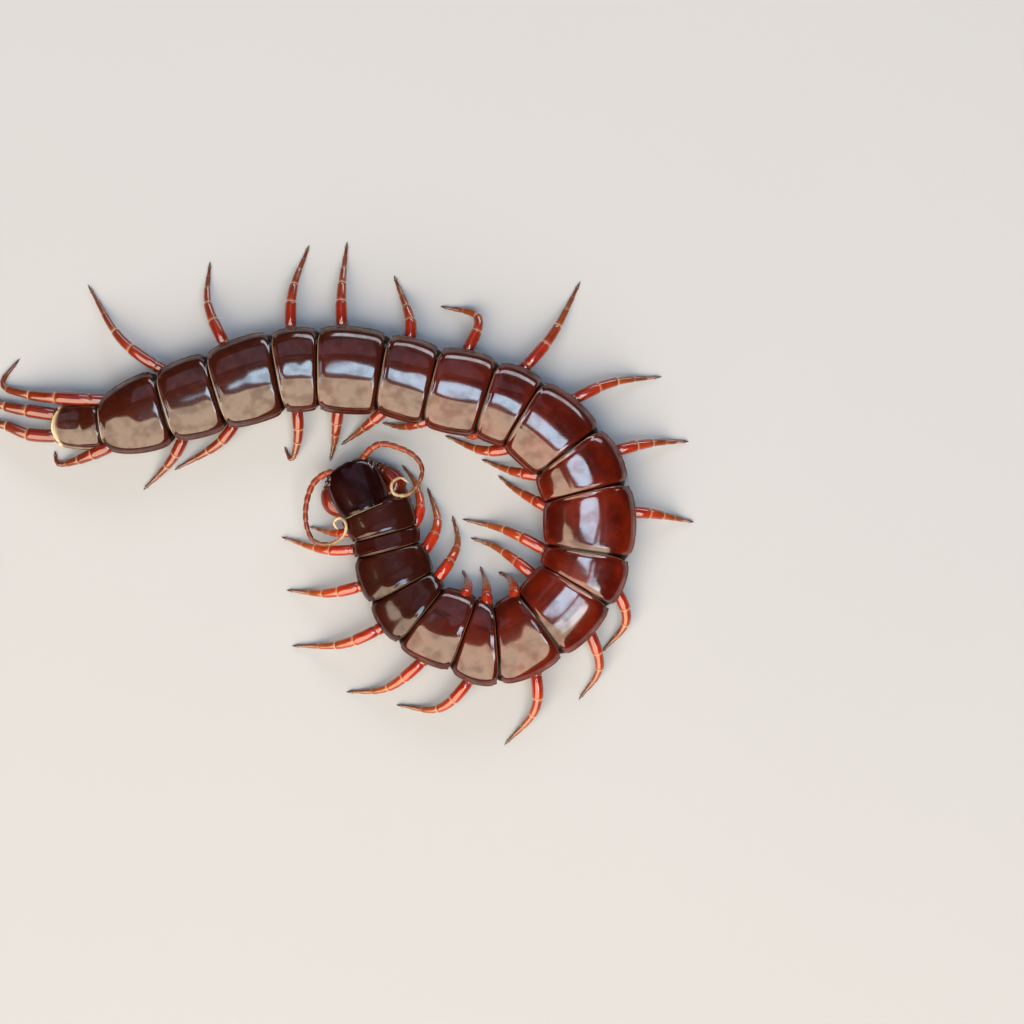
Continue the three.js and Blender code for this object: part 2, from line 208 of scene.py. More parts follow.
def lattice(rows: int, columns: int, wraps: tuple[bool, bool] = (False, False)) -> np.ndarray:
    """Faces between neighbours in a grid of points that are numbered row by row.

    Args:
        rows: How many rows.
        columns: How many points in each.
        wraps: Whether the last row joins the first, and the last column the first.

    Returns:
        The four corners of each face.
    """
    i, j = np.mgrid[:rows - (not wraps[0]), :columns - (not wraps[1])].reshape(2, -1)
    below, beside = (i + 1) % rows, (j + 1) % columns
    corners = ((i, j), (i, beside), (below, beside), (below, j))
    return np.stack([row * columns + column for row, column in corners], axis=1)


def stack(rings: np.ndarray, marks: Marks | None = None) -> Shape:
    """Skins a stack of rings and closes both ends.

    Args:
        rings: Points by ring and by place round it.
        marks: A number for each ring point, by name.

    Returns:
        The closed surface.
    """
    count, sides, _ = rings.shape
    points = np.vstack([rings.reshape(-1, 3), rings[0].mean(axis=0), rings[-1].mean(axis=0)])
    faces = lattice(count, sides, (False, True)).tolist()
    near, far, last = count * sides, count * sides + 1, (count - 1) * sides
    for k in range(sides):
        after = (k + 1) % sides
        faces += [(near, after, k), (far, last + k, last + after)]
    marks = {name: np.append(v.ravel(), [v[0].mean(), v[-1].mean()]) for name, v in (marks or {}).items()}
    return Shape(points, faces, marks)


def grid_normals(grid: np.ndarray, facing: int) -> np.ndarray:
    """Unit normals of a grid of points, upwards where facing is 1 and downwards where it is -1."""
    normals = unit(np.cross(np.gradient(grid, axis=0), np.gradient(grid, axis=1)))
    return normals if normals[..., 2].mean() * facing > 0 else -normals


def grid_distances(grid: np.ndarray, axis: int) -> tuple[np.ndarray, np.ndarray]:
    """Measures along the surface of a grid.

    Args:
        grid: Points by row and column.
        axis: Which way, 0 from row to row and 1 along the rows.

    Returns:
        The distances from the first edge and from the last.
    """
    steps = np.linalg.norm(np.diff(grid, axis=axis), axis=2)
    start = np.zeros_like(np.take(steps, [0], axis=axis))
    run = np.concatenate([start, np.cumsum(steps, axis=axis)], axis=axis)
    return run, np.take(run, [-1], axis=axis) - run


def shell(grid: np.ndarray, thickness: float, facing: int, marks: Marks) -> Shape:
    """Makes a thin plate with rounded edges from a grid of points on its outer face.

    Args:
        grid: Points by row and column.
        thickness: Of the plate.
        facing: 1 where the outer face looks up, -1 where it looks down.
        marks: A number for each grid point, by name.

    Returns:
        The closed plate.
    """
    rows, columns, _ = grid.shape
    inner = grid - thickness * grid_normals(grid, facing)
    loop = [(0, j) for j in range(columns)] + [(i, columns - 1) for i in range(1, rows)]
    loop += [(rows - 1, j) for j in range(columns - 2, -1, -1)] + [(i, 0) for i in range(rows - 2, 0, -1)]
    i, j = np.array(loop).T
    out = unit(grid[i, j] - grid[i + (i == 0) - (i == rows - 1), j + (j == 0) - (j == columns - 1)])
    edge = (grid[i, j] + inner[i, j]) / 2 + 0.45 * thickness * out
    size = rows * columns
    outer = lattice(rows, columns)
    faces = outer.tolist() + (size + outer[:, ::-1]).tolist()
    rim = (i * columns + j).tolist()
    for k, (a, b) in enumerate(zip(rim, rim[1:] + rim[:1])):
        c, d = 2 * size + k, 2 * size + (k + 1) % len(rim)
        faces += [(b, a, c, d), (d, c, size + a, size + b)]
    points = np.vstack([grid.reshape(-1, 3), inner.reshape(-1, 3), edge])
    marks = {name: np.concatenate([v.ravel(), v.ravel(), v[i, j]]) for name, v in marks.items()}
    return Shape(points, faces, marks)


def waves(a: np.ndarray, b: np.ndarray, length: float, seed: int) -> np.ndarray:
    """Soft irregular waves from a seeded draw.

    Args:
        a: Distance one way.
        b: Distance the other way.
        length: About how long a wave is.
        seed: Of the draw.

    Returns:
        Numbers between about -1 and 1.
    """
    draw = np.random.default_rng(seed)
    total = np.zeros_like(a)
    for _ in range(5):
        turn = draw.uniform(0, math.tau)
        pitch = math.tau / (length * draw.uniform(0.7, 1.6))
        total += np.sin(pitch * (a * math.cos(turn) + b * math.sin(turn)) + draw.uniform(0, math.tau))
    return total / 3


# Finishes


class Wiring:
    """A node tree under construction: nodes are added and joined by name."""

    def __init__(self, tree: bpy.types.NodeTree, prefix: str) -> None:
        """Takes the tree and the start of its node types' names."""
        self.tree, self.prefix = tree, prefix

    def set(self, node: bpy.types.Node, inputs: dict[str | int, object]) -> bpy.types.Node:
        """Gives a node's inputs their values, or joins them to sockets.

        Args:
            node: Which node.
            inputs: A value or a socket for each input, by its name or number.

        Returns:
            The node.
        """
        for name, value in inputs.items():
            if isinstance(value, Socket):
                self.tree.links.new(value, node.inputs[name])
            elif isinstance(value, tuple) and node.inputs[name].type == "RGBA":
                node.inputs[name].default_value = (*value, 1.0)
            else:
                node.inputs[name].default_value = value
        return node

    def add(self, kind: str, inputs: dict[str | int, object], **settings: object) -> bpy.types.Node:
        """Adds a node.

        Args:
            kind: Its type, after the prefix.
            inputs: A value or a socket for each input, by its name or number.
            **settings: Its properties.

        Returns:
            The node.
        """
        node = self.tree.nodes.new(self.prefix + kind)
        for name, value in settings.items():
            setattr(node, name, value)
        return self.set(node, inputs)


class Recipe(Wiring):
    """A material under construction."""

    def __init__(self, name: str) -> None:
        """Starts a material with its shader.

        Args:
            name: The material's name.
        """
        self.material = bpy.data.materials.new(name)
        self.material.use_nodes = True
        super().__init__(self.material.node_tree, "ShaderNode")

    def place(self) -> Socket:
        """The point on the piece, in metres."""
        return self.add("TexCoord", {}).outputs["Object"]

    def mark(self, name: str) -> Socket:
        """A number that the mesh carries."""
        return self.add("Attribute", {}, attribute_name=name).outputs["Fac"]

    def noise(self, size_mm: float, detail: float) -> Socket:
        """Cloudy noise whose blotches are about this big."""
        inputs = {"Vector": self.place(), "Scale": 1 / (size_mm * MM), "Detail": detail}
        return self.add("TexNoise", inputs).outputs["Fac"]

    def between(self, value: Socket, source: Span, target: Span) -> Socket:
        """A number carried from one range to another, and kept inside it."""
        inputs = {"Value": value, 1: source[0], 2: source[1], 3: target[0], 4: target[1]}
        return self.add("MapRange", inputs, interpolation_type="SMOOTHSTEP").outputs["Result"]

    def clouds(self, size_mm: float, detail: float, source: Span, target: Span) -> Socket:
        """Noise carried from one range to another."""
        return self.between(self.noise(size_mm, detail), source, target)

    def times(self, a: Socket, b: Socket | float) -> Socket:
        """One number times another."""
        return self.add("Math", {0: a, 1: b}, operation="MULTIPLY").outputs[0]

    def mix(self, factor: Socket, a: Socket | Colour, b: Socket | Colour) -> Socket:
        """Two colours mixed."""
        return self.add("Mix", {0: factor, 6: a, 7: b}, data_type="RGBA").outputs[2]

    def tint(self, body: Socket, mark: str, colour: Colour, amount: float = 1.0) -> Socket:
        """A colour laid over another as far as a mark says."""
        return self.mix(self.times(self.mark(mark), amount), body, colour)

    def ramp(self, factor: Socket, stops: Sequence[tuple[float, Colour]]) -> Socket:
        """Colours by factor.

        Args:
            factor: From 0 to 1.
            stops: Pairs of factor and colour, in order.

        Returns:
            The colour.
        """
        node = self.add("ValToRGB", {"Fac": factor})
        elements = node.color_ramp.elements
        while len(elements) < len(stops):
            elements.new(0.5)
        for element, (at, colour) in zip(elements, stops):
            element.position = at
            element.color = (*colour, 1.0)
        return node.outputs["Color"]

    def bump(self, height: Socket, depth_mm: float, under: Socket | None = None) -> Socket:
        """A relief in the surface.

        Args:
            height: From 0 to 1.
            depth_mm: How deep it is.
            under: An earlier relief that it is laid over.

        Returns:
            The normal.
        """
        inputs = {"Height": height, "Distance": depth_mm * MM, "Strength": 1.0}
        if under is not None:
            inputs["Normal"] = under
        return self.add("Bump", inputs).outputs["Normal"]

    def finish(self, inputs: dict[str, object]) -> bpy.types.Material:
        """Sets the shader and gives the material."""
        self.set(self.tree.nodes["Principled BSDF"], inputs)
        return self.material


@dataclass(frozen=True)
class BackPlate:
    """Polished dark chitin of the back: maroon with browner clouds, paler thin edges that also carry a
    painted reflection, and fine pores.
    """

    name: str
    deep: Colour
    brown: Colour
    thin: Colour = (0.18, 0.022, 0.005)
    # Cream of the rear edges: partly the thin chitin's own paler tone, partly a painted reflection of the
    # warm lamp.
    edge: Colour = (0.75, 0.56, 0.33)
    # Near black: a painted shadow in each plate's front strip, under the plate before.
    band: Colour = (0.003, 0.0006, 0.0004)
    # Darker towards both ends of the trunk: partly the plates' own tone, partly painted shade.
    dusk: Colour = (0.026, 0.0052, 0.0018)
    roughness: Span = (0.26, 0.36)
    coat: Span = (0.6, 1.0)
    coat_roughness: float = 0.095
    coat_ior: float = 1.65
    base_gloss: float = 0.08
    pores: float = 0.002  # depths of the relief in millimetres
    dimples: float = 0.012
    sway: float = 0.05

    def build(self) -> bpy.types.Material:
        """Makes the material, which reads the marks rim, edge, band, suture and dusk.

        Returns:
            The material.
        """
        make = Recipe(self.name)
        body = make.mix(make.clouds(5.0, 3.0, (0.36, 0.64), (0.0, 1.0)), self.deep, self.brown)
        # Darkening towards the head and the tail: partly own tone, partly painted shade.
        body = make.tint(body, "dusk", self.dusk)
        body = make.mix(make.clouds(1.1, 5.0, (0.5, 0.8), (0.0, 0.22)), body, self.thin)
        # Painted shadow in the covered front strip.
        body = make.tint(body, "band", self.band)
        body = make.tint(body, "rim", self.thin, 0.12)
        # Pale rear edge: partly the thin chitin's own tone, partly a painted reflection.
        body = make.tint(body, "edge", self.edge)
        # Painted shade in the suture grooves, in the colour of the painted shadow.
        body = make.tint(body, "suture", self.band, 0.25)
        normal = None
        reliefs = ((0.16, 2.0, self.pores), (0.9, 2.0, self.dimples), (2.6, 1.0, self.sway))
        for size, detail, depth in reliefs:
            normal = make.bump(make.noise(size, detail), depth, normal)
        bare = make.between(make.mark("band"), (0.2, 1.0), (1.0, 0.1))
        return make.finish({
            "Base Color": body, "Roughness": make.clouds(1.6, 4.0, (0.3, 0.7), self.roughness),
            "Normal": normal, "Specular IOR Level": self.base_gloss,
            "Coat Weight": make.times(make.clouds(2.2, 5.0, (0.34, 0.58), self.coat), bare),
            "Coat Roughness": self.coat_roughness, "Coat IOR": self.coat_ior,
        })


@dataclass(frozen=True)
class Limb:
    """Glossy chitin of a limb, coloured along it by the mark share, with pale skin at its joints."""

    name: str
    colours: tuple[tuple[float, Colour], ...]
    joint: Colour = (0.66, 0.4, 0.2)
    shade: Colour = (0.09, 0.007, 0.002)
    rear_shade: float = 0.75
    roughness: Span = (0.16, 0.28)
    coat: float = 0.9
    base_gloss: float = 0.25
    glow: float = 0.06

    def build(self) -> bpy.types.Material:
        """Makes the material, which reads the marks share, ring and rear.

        Returns:
            The material.
        """
        make = Recipe(self.name)
        body = make.ramp(make.mark("share"), self.colours)
        body = make.mix(make.clouds(1.4, 4.0, (0.35, 0.75), (0.0, 0.5)), body, self.shade)
        body = make.tint(body, "rear", self.shade, self.rear_shade)
        body = make.tint(body, "ring", self.joint)
        return make.finish({
            "Base Color": body, "Roughness": make.clouds(0.7, 3.0, (0.3, 0.7), self.roughness),
            "Normal": make.bump(make.noise(0.12, 2.0), 0.005), "Specular IOR Level": self.base_gloss,
            "Coat Weight": self.coat, "Coat Roughness": 0.08, "Coat IOR": 1.65,
            "Subsurface Weight": self.glow, "Subsurface Radius": (1.0, 0.3, 0.1),
            "Subsurface Scale": 0.0006,
        })


@dataclass(frozen=True)
class Skin:
    """Soft skin of the flanks and belly: folded, leathery and duller than the plates."""

    name: str = "flank_skin"
    dark: Colour = (0.03, 0.012, 0.008)
    pale: Colour = (0.16, 0.07, 0.035)

    def build(self) -> bpy.types.Material:
        """Makes the material.

        Returns:
            The material.
        """
        make = Recipe(self.name)
        folds = make.add("TexWave", {
            "Vector": make.place(), "Scale": 420.0, "Distortion": 6.0, "Detail": 3.0, "Detail Scale": 1.5,
        }, bands_direction="Z").outputs["Fac"]
        return make.finish({
            "Base Color": make.mix(make.clouds(1.8, 5.0, (0.35, 0.7), (0.0, 1.0)), self.dark, self.pale),
            "Roughness": 0.48, "Normal": make.bump(make.noise(0.2, 3.0), 0.02, make.bump(folds, 0.05)),
            "Subsurface Weight": 0.1, "Subsurface Radius": (1.0, 0.4, 0.2), "Subsurface Scale": 0.0008,
        })


@dataclass(frozen=True)
class BellyPlate:
    """Chitin of the underside: amber brown, satin, darker towards its edges, with painted shade in its
    suture grooves.
    """

    name: str = "belly_plate"
    middle: Colour = (0.24, 0.1, 0.035)
    edge: Colour = (0.07, 0.02, 0.01)

    def build(self) -> bpy.types.Material:
        """Makes the material, which reads the marks edge and suture.

        Returns:
            The material.
        """
        make = Recipe(self.name)
        body = make.mix(make.clouds(2.2, 4.0, (0.3, 0.75), (0.0, 0.6)), self.middle, self.edge)
        # Darker towards the edges, with painted shade in the suture grooves.
        body = make.tint(make.tint(body, "edge", self.edge), "suture", self.edge, 0.6)
        return make.finish({
            "Base Color": body, "Roughness": make.clouds(1.0, 4.0, (0.3, 0.7), (0.28, 0.42)),
            "Normal": make.bump(make.noise(0.18, 3.0), 0.008), "Coat Weight": 0.4, "Coat Roughness": 0.12,
        })


@dataclass(frozen=True)
class Horn:
    """Hard polished horn of claws, fangs and teeth, blackening towards the point by the mark share."""

    name: str
    root: Colour
    tip: Colour = (0.008, 0.004, 0.003)
    turn: Span = (0.2, 0.75)

    def build(self) -> bpy.types.Material:
        """Makes the material.

        Returns:
            The material.
        """
        make = Recipe(self.name)
        body = make.mix(make.between(make.mark("share"), self.turn, (0.0, 1.0)), self.root, self.tip)
        return make.finish({
            "Base Color": make.mix(make.clouds(0.5, 4.0, (0.4, 0.8), (0.0, 0.3)), body, self.tip),
            "Roughness": 0.22, "Normal": make.bump(make.noise(0.1, 2.0), 0.003),
            "Coat Weight": 0.6, "Coat Roughness": 0.06,
        })


@dataclass(frozen=True)
class EyeGlass:
    """The clear black lens of a simple eye, with an amber depth."""

    name: str = "eye_lens"
    black: Colour = (0.008, 0.004, 0.003)
    amber: Colour = (0.05, 0.02, 0.008)

    def build(self) -> bpy.types.Material:
        """Makes the material.

        Returns:
            The material.
        """
        make = Recipe(self.name)
        body = make.mix(make.clouds(0.3, 2.0, (0.3, 0.7), (0.0, 0.5)), self.black, self.amber)
        return make.finish({
            "Base Color": body, "Roughness": 0.08, "IOR": 1.5, "Coat Weight": 1.0, "Coat Roughness": 0.03,
        })


@dataclass(frozen=True)
class PaleFloor:
    """A matt pale studio floor with a faint change of tone."""

    name: str = "pale_floor"
    colour: Colour = (0.41, 0.44, 0.485)
    other: Colour = (0.365, 0.39, 0.43)

    def build(self) -> bpy.types.Material:
        """Makes the material.

        Returns:
            The material.
        """
        make = Recipe(self.name)
        tone = make.clouds(60.0, 2.0, (0.3, 0.7), (0.0, 0.06))
        return make.finish({"Base Color": make.mix(tone, self.colour, self.other), "Roughness": 0.8})


LEG_COLOURS = (
    (0.0, (0.08, 0.005, 0.001)), (0.18, (0.3, 0.013, 0.002)), (0.36, (0.44, 0.027, 0.004)),
    (0.5, (0.42, 0.045, 0.008)), (0.64, (0.38, 0.075, 0.016)), (0.8, (0.3, 0.095, 0.028)),
    (0.96, (0.13, 0.05, 0.02)),
)
FEELER_COLOURS = (
    (0.0, (0.24, 0.03, 0.007)), (0.15, (0.29, 0.052, 0.016)), (0.35, (0.23, 0.036, 0.013)),
    (0.55, (0.13, 0.02, 0.011)), (0.68, (0.23, 0.1, 0.04)), (0.78, (0.4, 0.31, 0.18)),
    (1.0, (0.5, 0.42, 0.28)),
)
CLAW_COLOURS = (
    (0.0, (0.1, 0.008, 0.002)), (0.25, (0.2, 0.022, 0.004)), (0.6, (0.16, 0.015, 0.004)),
    (1.0, (0.05, 0.004, 0.002)),
)


class Finishes:
    """Every finish of the animal, each made once."""

    def __init__(self) -> None:
        """Makes the materials."""
        self.front_plate = BackPlate(
            "front_plate", deep=(0.016, 0.0005, 0.0003), brown=(0.034, 0.0013, 0.0006),
            thin=(0.08, 0.005, 0.002), coat_ior=1.5, sway=0.01,
        ).build()
        self.plate = BackPlate(
            "back_plate", deep=(0.048, 0.0024, 0.0003), brown=(0.11, 0.0075, 0.0006),
        ).build()
        self.head = BackPlate(
            "head_plate", deep=(0.007, 0.0003, 0.0003), brown=(0.014, 0.0006, 0.0004),
            thin=(0.05, 0.004, 0.002), coat_ior=1.42, sway=0.01,
        ).build()
        self.skin = Skin().build()
        self.belly = BellyPlate().build()
        self.leg = Limb("leg_chitin", LEG_COLOURS).build()
        self.feeler = Limb(
            "feeler_chitin", FEELER_COLOURS, joint=(0.55, 0.26, 0.11), coat=0.22, glow=0.08,
        ).build()
        self.venom_leg = Limb("venom_leg_chitin", CLAW_COLOURS, joint=(0.2, 0.05, 0.015), coat=0.4).build()
        self.mouth = Limb("mouth_chitin", CLAW_COLOURS, joint=(0.4, 0.16, 0.07), coat=0.5).build()
        self.fang = Horn("fang_horn", root=(0.11, 0.01, 0.003)).build()
        self.claw = Horn("claw_horn", root=(0.14, 0.055, 0.022), turn=(0.1, 0.8)).build()
        self.tooth = Horn("tooth_horn", root=(0.1, 0.02, 0.01)).build()
        self.eye = EyeGlass().build()


# Pieces


def placed(name: str, data: bpy.types.ID) -> bpy.types.Object:
    """Puts data in the scene.

    Args:
        name: The new object's name.
        data: A mesh, a lamp or a camera.

    Returns:
        The object.
    """
    thing = bpy.data.objects.new(name, data)
    bpy.context.scene.collection.objects.link(thing)
    return thing


def mesh_from(name: str, shape: Shape, is_pattern: bool = False) -> bpy.types.Mesh:
    """Makes a mesh with its marks.

    Args:
        name: The mesh's name.
        shape: What it is made from.
        is_pattern: Whether its points stay as they are, or go to their place in metres.

    Returns:
        The mesh.
    """
    mesh = bpy.data.meshes.new(name)
    mesh.from_pydata(shape.points if is_pattern else (shape.points + PLACE) * MM, shape.edges, shape.faces)
    for mark, numbers in shape.marks.items():
        is_vector = numbers.ndim == 2
        data = mesh.attributes.new(mark, "FLOAT_VECTOR" if is_vector else "FLOAT", "POINT").data
        data.foreach_set("vector" if is_vector else "value", numbers.astype(float).ravel())
    return mesh


def signed_volume(mesh: bpy.types.Mesh, points: np.ndarray) -> float:
    """Measures a closed mesh.

    Args:
        mesh: Which mesh.
        points: Where its vertices are.

    Returns:
        The volume inside, negative where the faces point inwards.
    """
    mesh.calc_loop_triangles()
    corners = np.empty(len(mesh.loop_triangles) * 3, int)
    mesh.loop_triangles.foreach_get("vertices", corners)
    a, b, c = (points[corners.reshape(-1, 3)[:, k]] for k in range(3))
    return float(np.einsum("ij,ij->i", a, np.cross(b, c)).sum() / 6)


def dress(thing: bpy.types.Object, nodes: Sequence[str] = ()) -> None:
    """Keeps a piece above the floor, turns its faces outwards, puts it on the animal and logs it.

    Args:
        thing: The piece, with its mesh and material.
        nodes: The solids that it stands for.
    """
    mesh = thing.data
    points = np.empty((len(mesh.vertices), 3))
    mesh.vertices.foreach_get("co", points.reshape(-1))
    points[:, 2] = np.maximum(points[:, 2], 0)
    mesh.vertices.foreach_set("co", points.ravel())
    mesh.polygons.foreach_set("use_smooth", [True] * len(mesh.polygons))
    if signed_volume(mesh, points) < 0:
        mesh.flip_normals()
    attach(thing, BODY)
    if nodes:
        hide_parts(*nodes)
    log.info("%s: %d faces", thing.name, len(mesh.polygons))


class Growth(Wiring):
    """A Geometry Nodes tree with named inputs. It is run once and leaves a plain mesh."""

    def __init__(self, name: str, inputs: dict[str, str]) -> None:
        """Starts a tree.

        Args:
            name: The tree's name.
            inputs: The socket type of each input, by name.
        """
        super().__init__(bpy.data.node_groups.new(name, "GeometryNodeTree"), "GeometryNode")
        face = self.tree.interface
        inputs = {"Source": "NodeSocketGeometry", **inputs, "Finish": "NodeSocketMaterial"}
        for label, kind in inputs.items():
            face.new_socket(label, in_out="INPUT", socket_type=kind)
        face.new_socket("Result", in_out="OUTPUT", socket_type="NodeSocketGeometry")
        self.given = self.tree.nodes.new("NodeGroupInput").outputs
        self.exit = self.tree.nodes.new("NodeGroupOutput")

    def mark(self, name: str, kind: str = "FLOAT") -> Socket:
        """A number or vector that the source mesh carries."""
        return self.add("InputNamedAttribute", {"Name": name}, data_type=kind).outputs["Attribute"]

    def close(self, result: Socket) -> "Growth":
        """Realizes the instances, gives them the finish and ends the tree.

        Args:
            result: What has grown.

        Returns:
            The tree.
        """
        whole = self.add("RealizeInstances", {"Geometry": result}).outputs[0]
        painted = self.add("SetMaterial", {"Geometry": whole, "Material": self.given["Finish"]}).outputs[0]
        self.tree.links.new(painted, self.exit.inputs["Result"])
        return self

    def grow(self, name: str, source: Shape, values: dict[str, object]) -> bpy.types.Object:
        """Runs the tree on a source.

        Args:
            name: The new object's name.
            source: Its points, edges and marks.
            values: The tree's inputs by name.

        Returns:
            An object with the result as a plain mesh.
        """
        mesh = mesh_from(name + "_source", source)
        thing = placed(name, mesh)
        run = thing.modifiers.new("growth", "NODES")
        run.node_group = self.tree
        sockets = {s.name: s.identifier for s in self.tree.interface.items_tree if s.in_out == "INPUT"}
        for label, value in values.items():
            run[sockets[label]] = value
        graph = bpy.context.evaluated_depsgraph_get()
        grown = bpy.data.meshes.new_from_object(thing.evaluated_get(graph), depsgraph=graph)
        thing.modifiers.remove(run)
        thing.data = grown
        grown.name = name
        bpy.data.meshes.remove(mesh)
        return thing


def tube_growth() -> Growth:
    """Makes the tree that runs a round section along a path, as thick as the path's own mark says.

    Returns:
        The tree.
    """
    grow = Growth("tube", {"Sides": "NodeSocketInt"})
    path = grow.add("MeshToCurve", {"Mesh": grow.given["Source"]}).outputs[0]
    section = grow.add("CurvePrimitiveCircle", {"Resolution": grow.given["Sides"], "Radius": 1.0})
    tube = grow.add("CurveToMesh", {
        "Curve": path, "Profile Curve": section.outputs[0], "Scale": grow.mark("thick"), "Fill Caps": True,
    })
    return grow.close(tube.outputs[0])


def scatter_growth() -> Growth:
    """Makes the tree that sets a copy of a pattern at each point, turned and sized as the marks say.

    Returns:
        The tree.
    """
    grow = Growth("scatter", {"Pattern": "NodeSocketObject"})
    pattern = grow.add("ObjectInfo", {"Object": grow.given["Pattern"], "As Instance": True})
    copies = grow.add("InstanceOnPoints", {
        "Points": grow.given["Source"], "Instance": pattern.outputs["Geometry"],
        "Rotation": grow.mark("turn", "FLOAT_VECTOR"), "Scale": grow.mark("size", "FLOAT_VECTOR"),
    })
    return grow.close(copies.outputs[0])


class Workshop:
    """Makes pieces and dresses them: closed shapes, tubes along paths and copies of patterns."""

    def __init__(self) -> None:
        """Makes the finishes and both trees."""
        self.finishes = Finishes()
        self.tube, self.scatter = tube_growth(), scatter_growth()

    def piece(
        self, name: str, shape: Shape, finish: bpy.types.Material, slot: str, nodes: Sequence[str] = (),
    ) -> None:
        """Makes a piece from a closed shape.

        Args:
            name: Its name.
            shape: Its surface.
            finish: Its material.
            slot: The name of a material slot in the record; not used.
            nodes: The solids that it stands for.
        """
        mesh = mesh_from(name, shape)
        mesh.materials.append(finish)
        dress(placed(name, mesh), nodes)

    def along(
        self, name: str, points: np.ndarray, marks: Marks, sides: int, finish: bpy.types.Material,
        slot: str, nodes: Sequence[str] = (),
    ) -> None:
        """Makes a tube along a path.

        Args:
            name: Its name.
            points: The path.
            marks: Numbers at each point. The mark thick is the radius.
            sides: Of its section.
            finish: Its material.
            slot: The name of a material slot in the record; not used.
            nodes: The solids that it stands for.
        """
        path = Shape(points, marks={**marks, "thick": marks["thick"] * MM})
        path.edges = [(i, i + 1) for i in range(len(points) - 1)]
        dress(self.tube.grow(name, path, {"Sides": sides, "Finish": finish}), nodes)

    def copies(
        self, name: str, pattern: Shape, spots: Iterable[Spot], finish: bpy.types.Material, slot: str,
    ) -> None:
        """Makes one piece from copies of a pattern.

        Args:
            name: Its name.
            pattern: What is copied, about 1 long along +X.
            spots: A place, a direction and three sizes for each copy.
            finish: Its material.
            slot: The name of a material slot in the record; not used.
        """
        points, ways, sizes = (np.array(column, float) for column in zip(*spots))
        x, y, z = unit(ways).T
        turns = np.stack([np.zeros_like(x), -np.arcsin(z), np.arctan2(y, x)], axis=1)
        template = placed(name + "_pattern", mesh_from(name + "_pattern", pattern, is_pattern=True))
        source = Shape(points, marks={"turn": turns, "size": sizes * MM})
        thing = self.scatter.grow(name, source, {"Pattern": template, "Finish": finish})
        bpy.data.objects.remove(template)
        dress(thing)


def blob(sides: int, rows: int) -> Shape:
    """Makes a ball of radius 0.5.

    Args:
        sides: Points round each ring.
        rows: How many rings.

    Returns:
        The ball, with the marks share and edge at 0.
    """
    angle = np.linspace(0.12, np.pi - 0.12, rows)[:, None]
    turn = around(sides)
    rings = [-np.cos(angle) + 0 * turn, np.sin(angle) * np.cos(turn), np.sin(angle) * np.sin(turn)]
    marks = {name: np.zeros((rows, sides)) for name in ("share", "edge")}
    return stack(np.stack(rings, axis=2) * 0.5, marks)


def loop_pattern(turns: int, sides: int, thick: float) -> Shape:
    """Makes a closed ring in the plane of X and Z, of radius 0.5.

    Args:
        turns: Sections round the ring.
        sides: Of each section.
        thick: Of the ring.

    Returns:
        The ring, with the mark share.
    """
    a, b = around(turns)[:, None], around(sides)
    reach = 0.5 + thick / 2 * np.cos(b)
    points = np.stack([reach * np.cos(a), thick * np.sin(b) + 0 * a, reach * np.sin(a)], axis=2)
    faces = lattice(turns, sides, (True, True)).tolist()
    return Shape(points.reshape(-1, 3), faces, {"share": np.full(turns * sides, 0.8)})


def thorn(droop: float, thick: float = 0.16, sides: int = 8, rows: int = 5) -> Shape:
    """Makes a curved spike along +X, 1 long.

    Args:
        droop: How far its point hangs down.
        thick: Its radius at the root.
        sides: Points round each ring.
        rows: How many rings.

    Returns:
        The spike, with the mark share along it.
    """
    t = np.linspace(0, 1, rows)
    centre = np.stack([t, 0 * t, -droop * t**2], axis=1)
    radius = thick * (1 - t**1.3) + 0.008
    turn = around(sides)
    ring = np.stack([0 * turn, np.cos(turn), np.sin(turn)], axis=1)
    rings = centre[:, None, :] + radius[:, None, None] * ring
    return stack(rings, {"share": np.repeat(t[:, None], sides, axis=1)})


@dataclass(frozen=True)
class Article:
    """One piece of a jointed limb: its share of the length, and its radius and joint at the far end."""

    length: float
    radius: float
    ring: float = 0.0
    pinch: float = 0.85


ARTICLE_SWELL = (
    (0.05, 0.5), (0.12, 0.85), (0.3, 0.97), (0.55, 1.0), (0.8, 1.0), (0.92, 0.97), (0.97, 0.6),
    (1.0, 0.0),
)


def jointed(articles: Sequence[Article], taper: float, scale: float = 1.0) -> tuple[np.ndarray, Marks]:
    """Radii along a jointed limb.

    Args:
        articles: Its pieces, in order.
        taper: How far a piece narrows from its far end back to the end of the one before, from 0 to 1.
        scale: Multiplies every radius.

    Returns:
        Places as shares of the length, and the marks thick, share and ring at each.
    """
    start, near, pinch, mark = 0.0, articles[0].radius, articles[0].pinch, 0.0
    rows = [(0.0, near * pinch, 0.0)]
    for article in articles:
        for place, full in ARTICLE_SWELL:
            radius = near + (article.radius - near) * (1 - taper + taper * place)
            held, joint = (pinch, mark) if place < 0.5 else (article.pinch, article.ring)
            here = start + article.length * place
            rows.append((here, radius * (held + (1 - held) * full), joint * (1 - full) ** 2))
        start, near, pinch, mark = start + article.length, article.radius, article.pinch, article.ring
    at, thick, ring = np.array(rows).T
    return at / start, {"thick": scale * thick, "share": at / start, "ring": ring}


# The trunk

JOINTS = (
    (-21.5, 1.1), (-19.7, -3.3), (-19.3, -5.8), (-17.2, -11.5), (-14.2, -15.9), (-7.7, -18.9),
    (-2.6, -20.5), (4.2, -17.5), (9.8, -11.6), (11.7, -6.5), (11.6, 2.8), (8.8, 9.0), (2.0, 15.1),
    (-3.7, 17.5), (-12.2, 19.5), (-19.8, 21.4), (-29.8, 22.2), (-36.1, 21.7), (-45.6, 18.9),
    (-53.6, 16.4), (-63.7, 13.5), (-70.4, 13.3),
)
PLATE_WIDTHS = (
    11.2, 10.9, 11.8, 12.2, 12.7, 13.3, 13.0, 13.3, 13.6, 14.4, 13.9, 13.3, 12.8, 13.3, 12.9, 13.6,
    13.2, 13.6, 12.6, 11.5, 7.0,
)


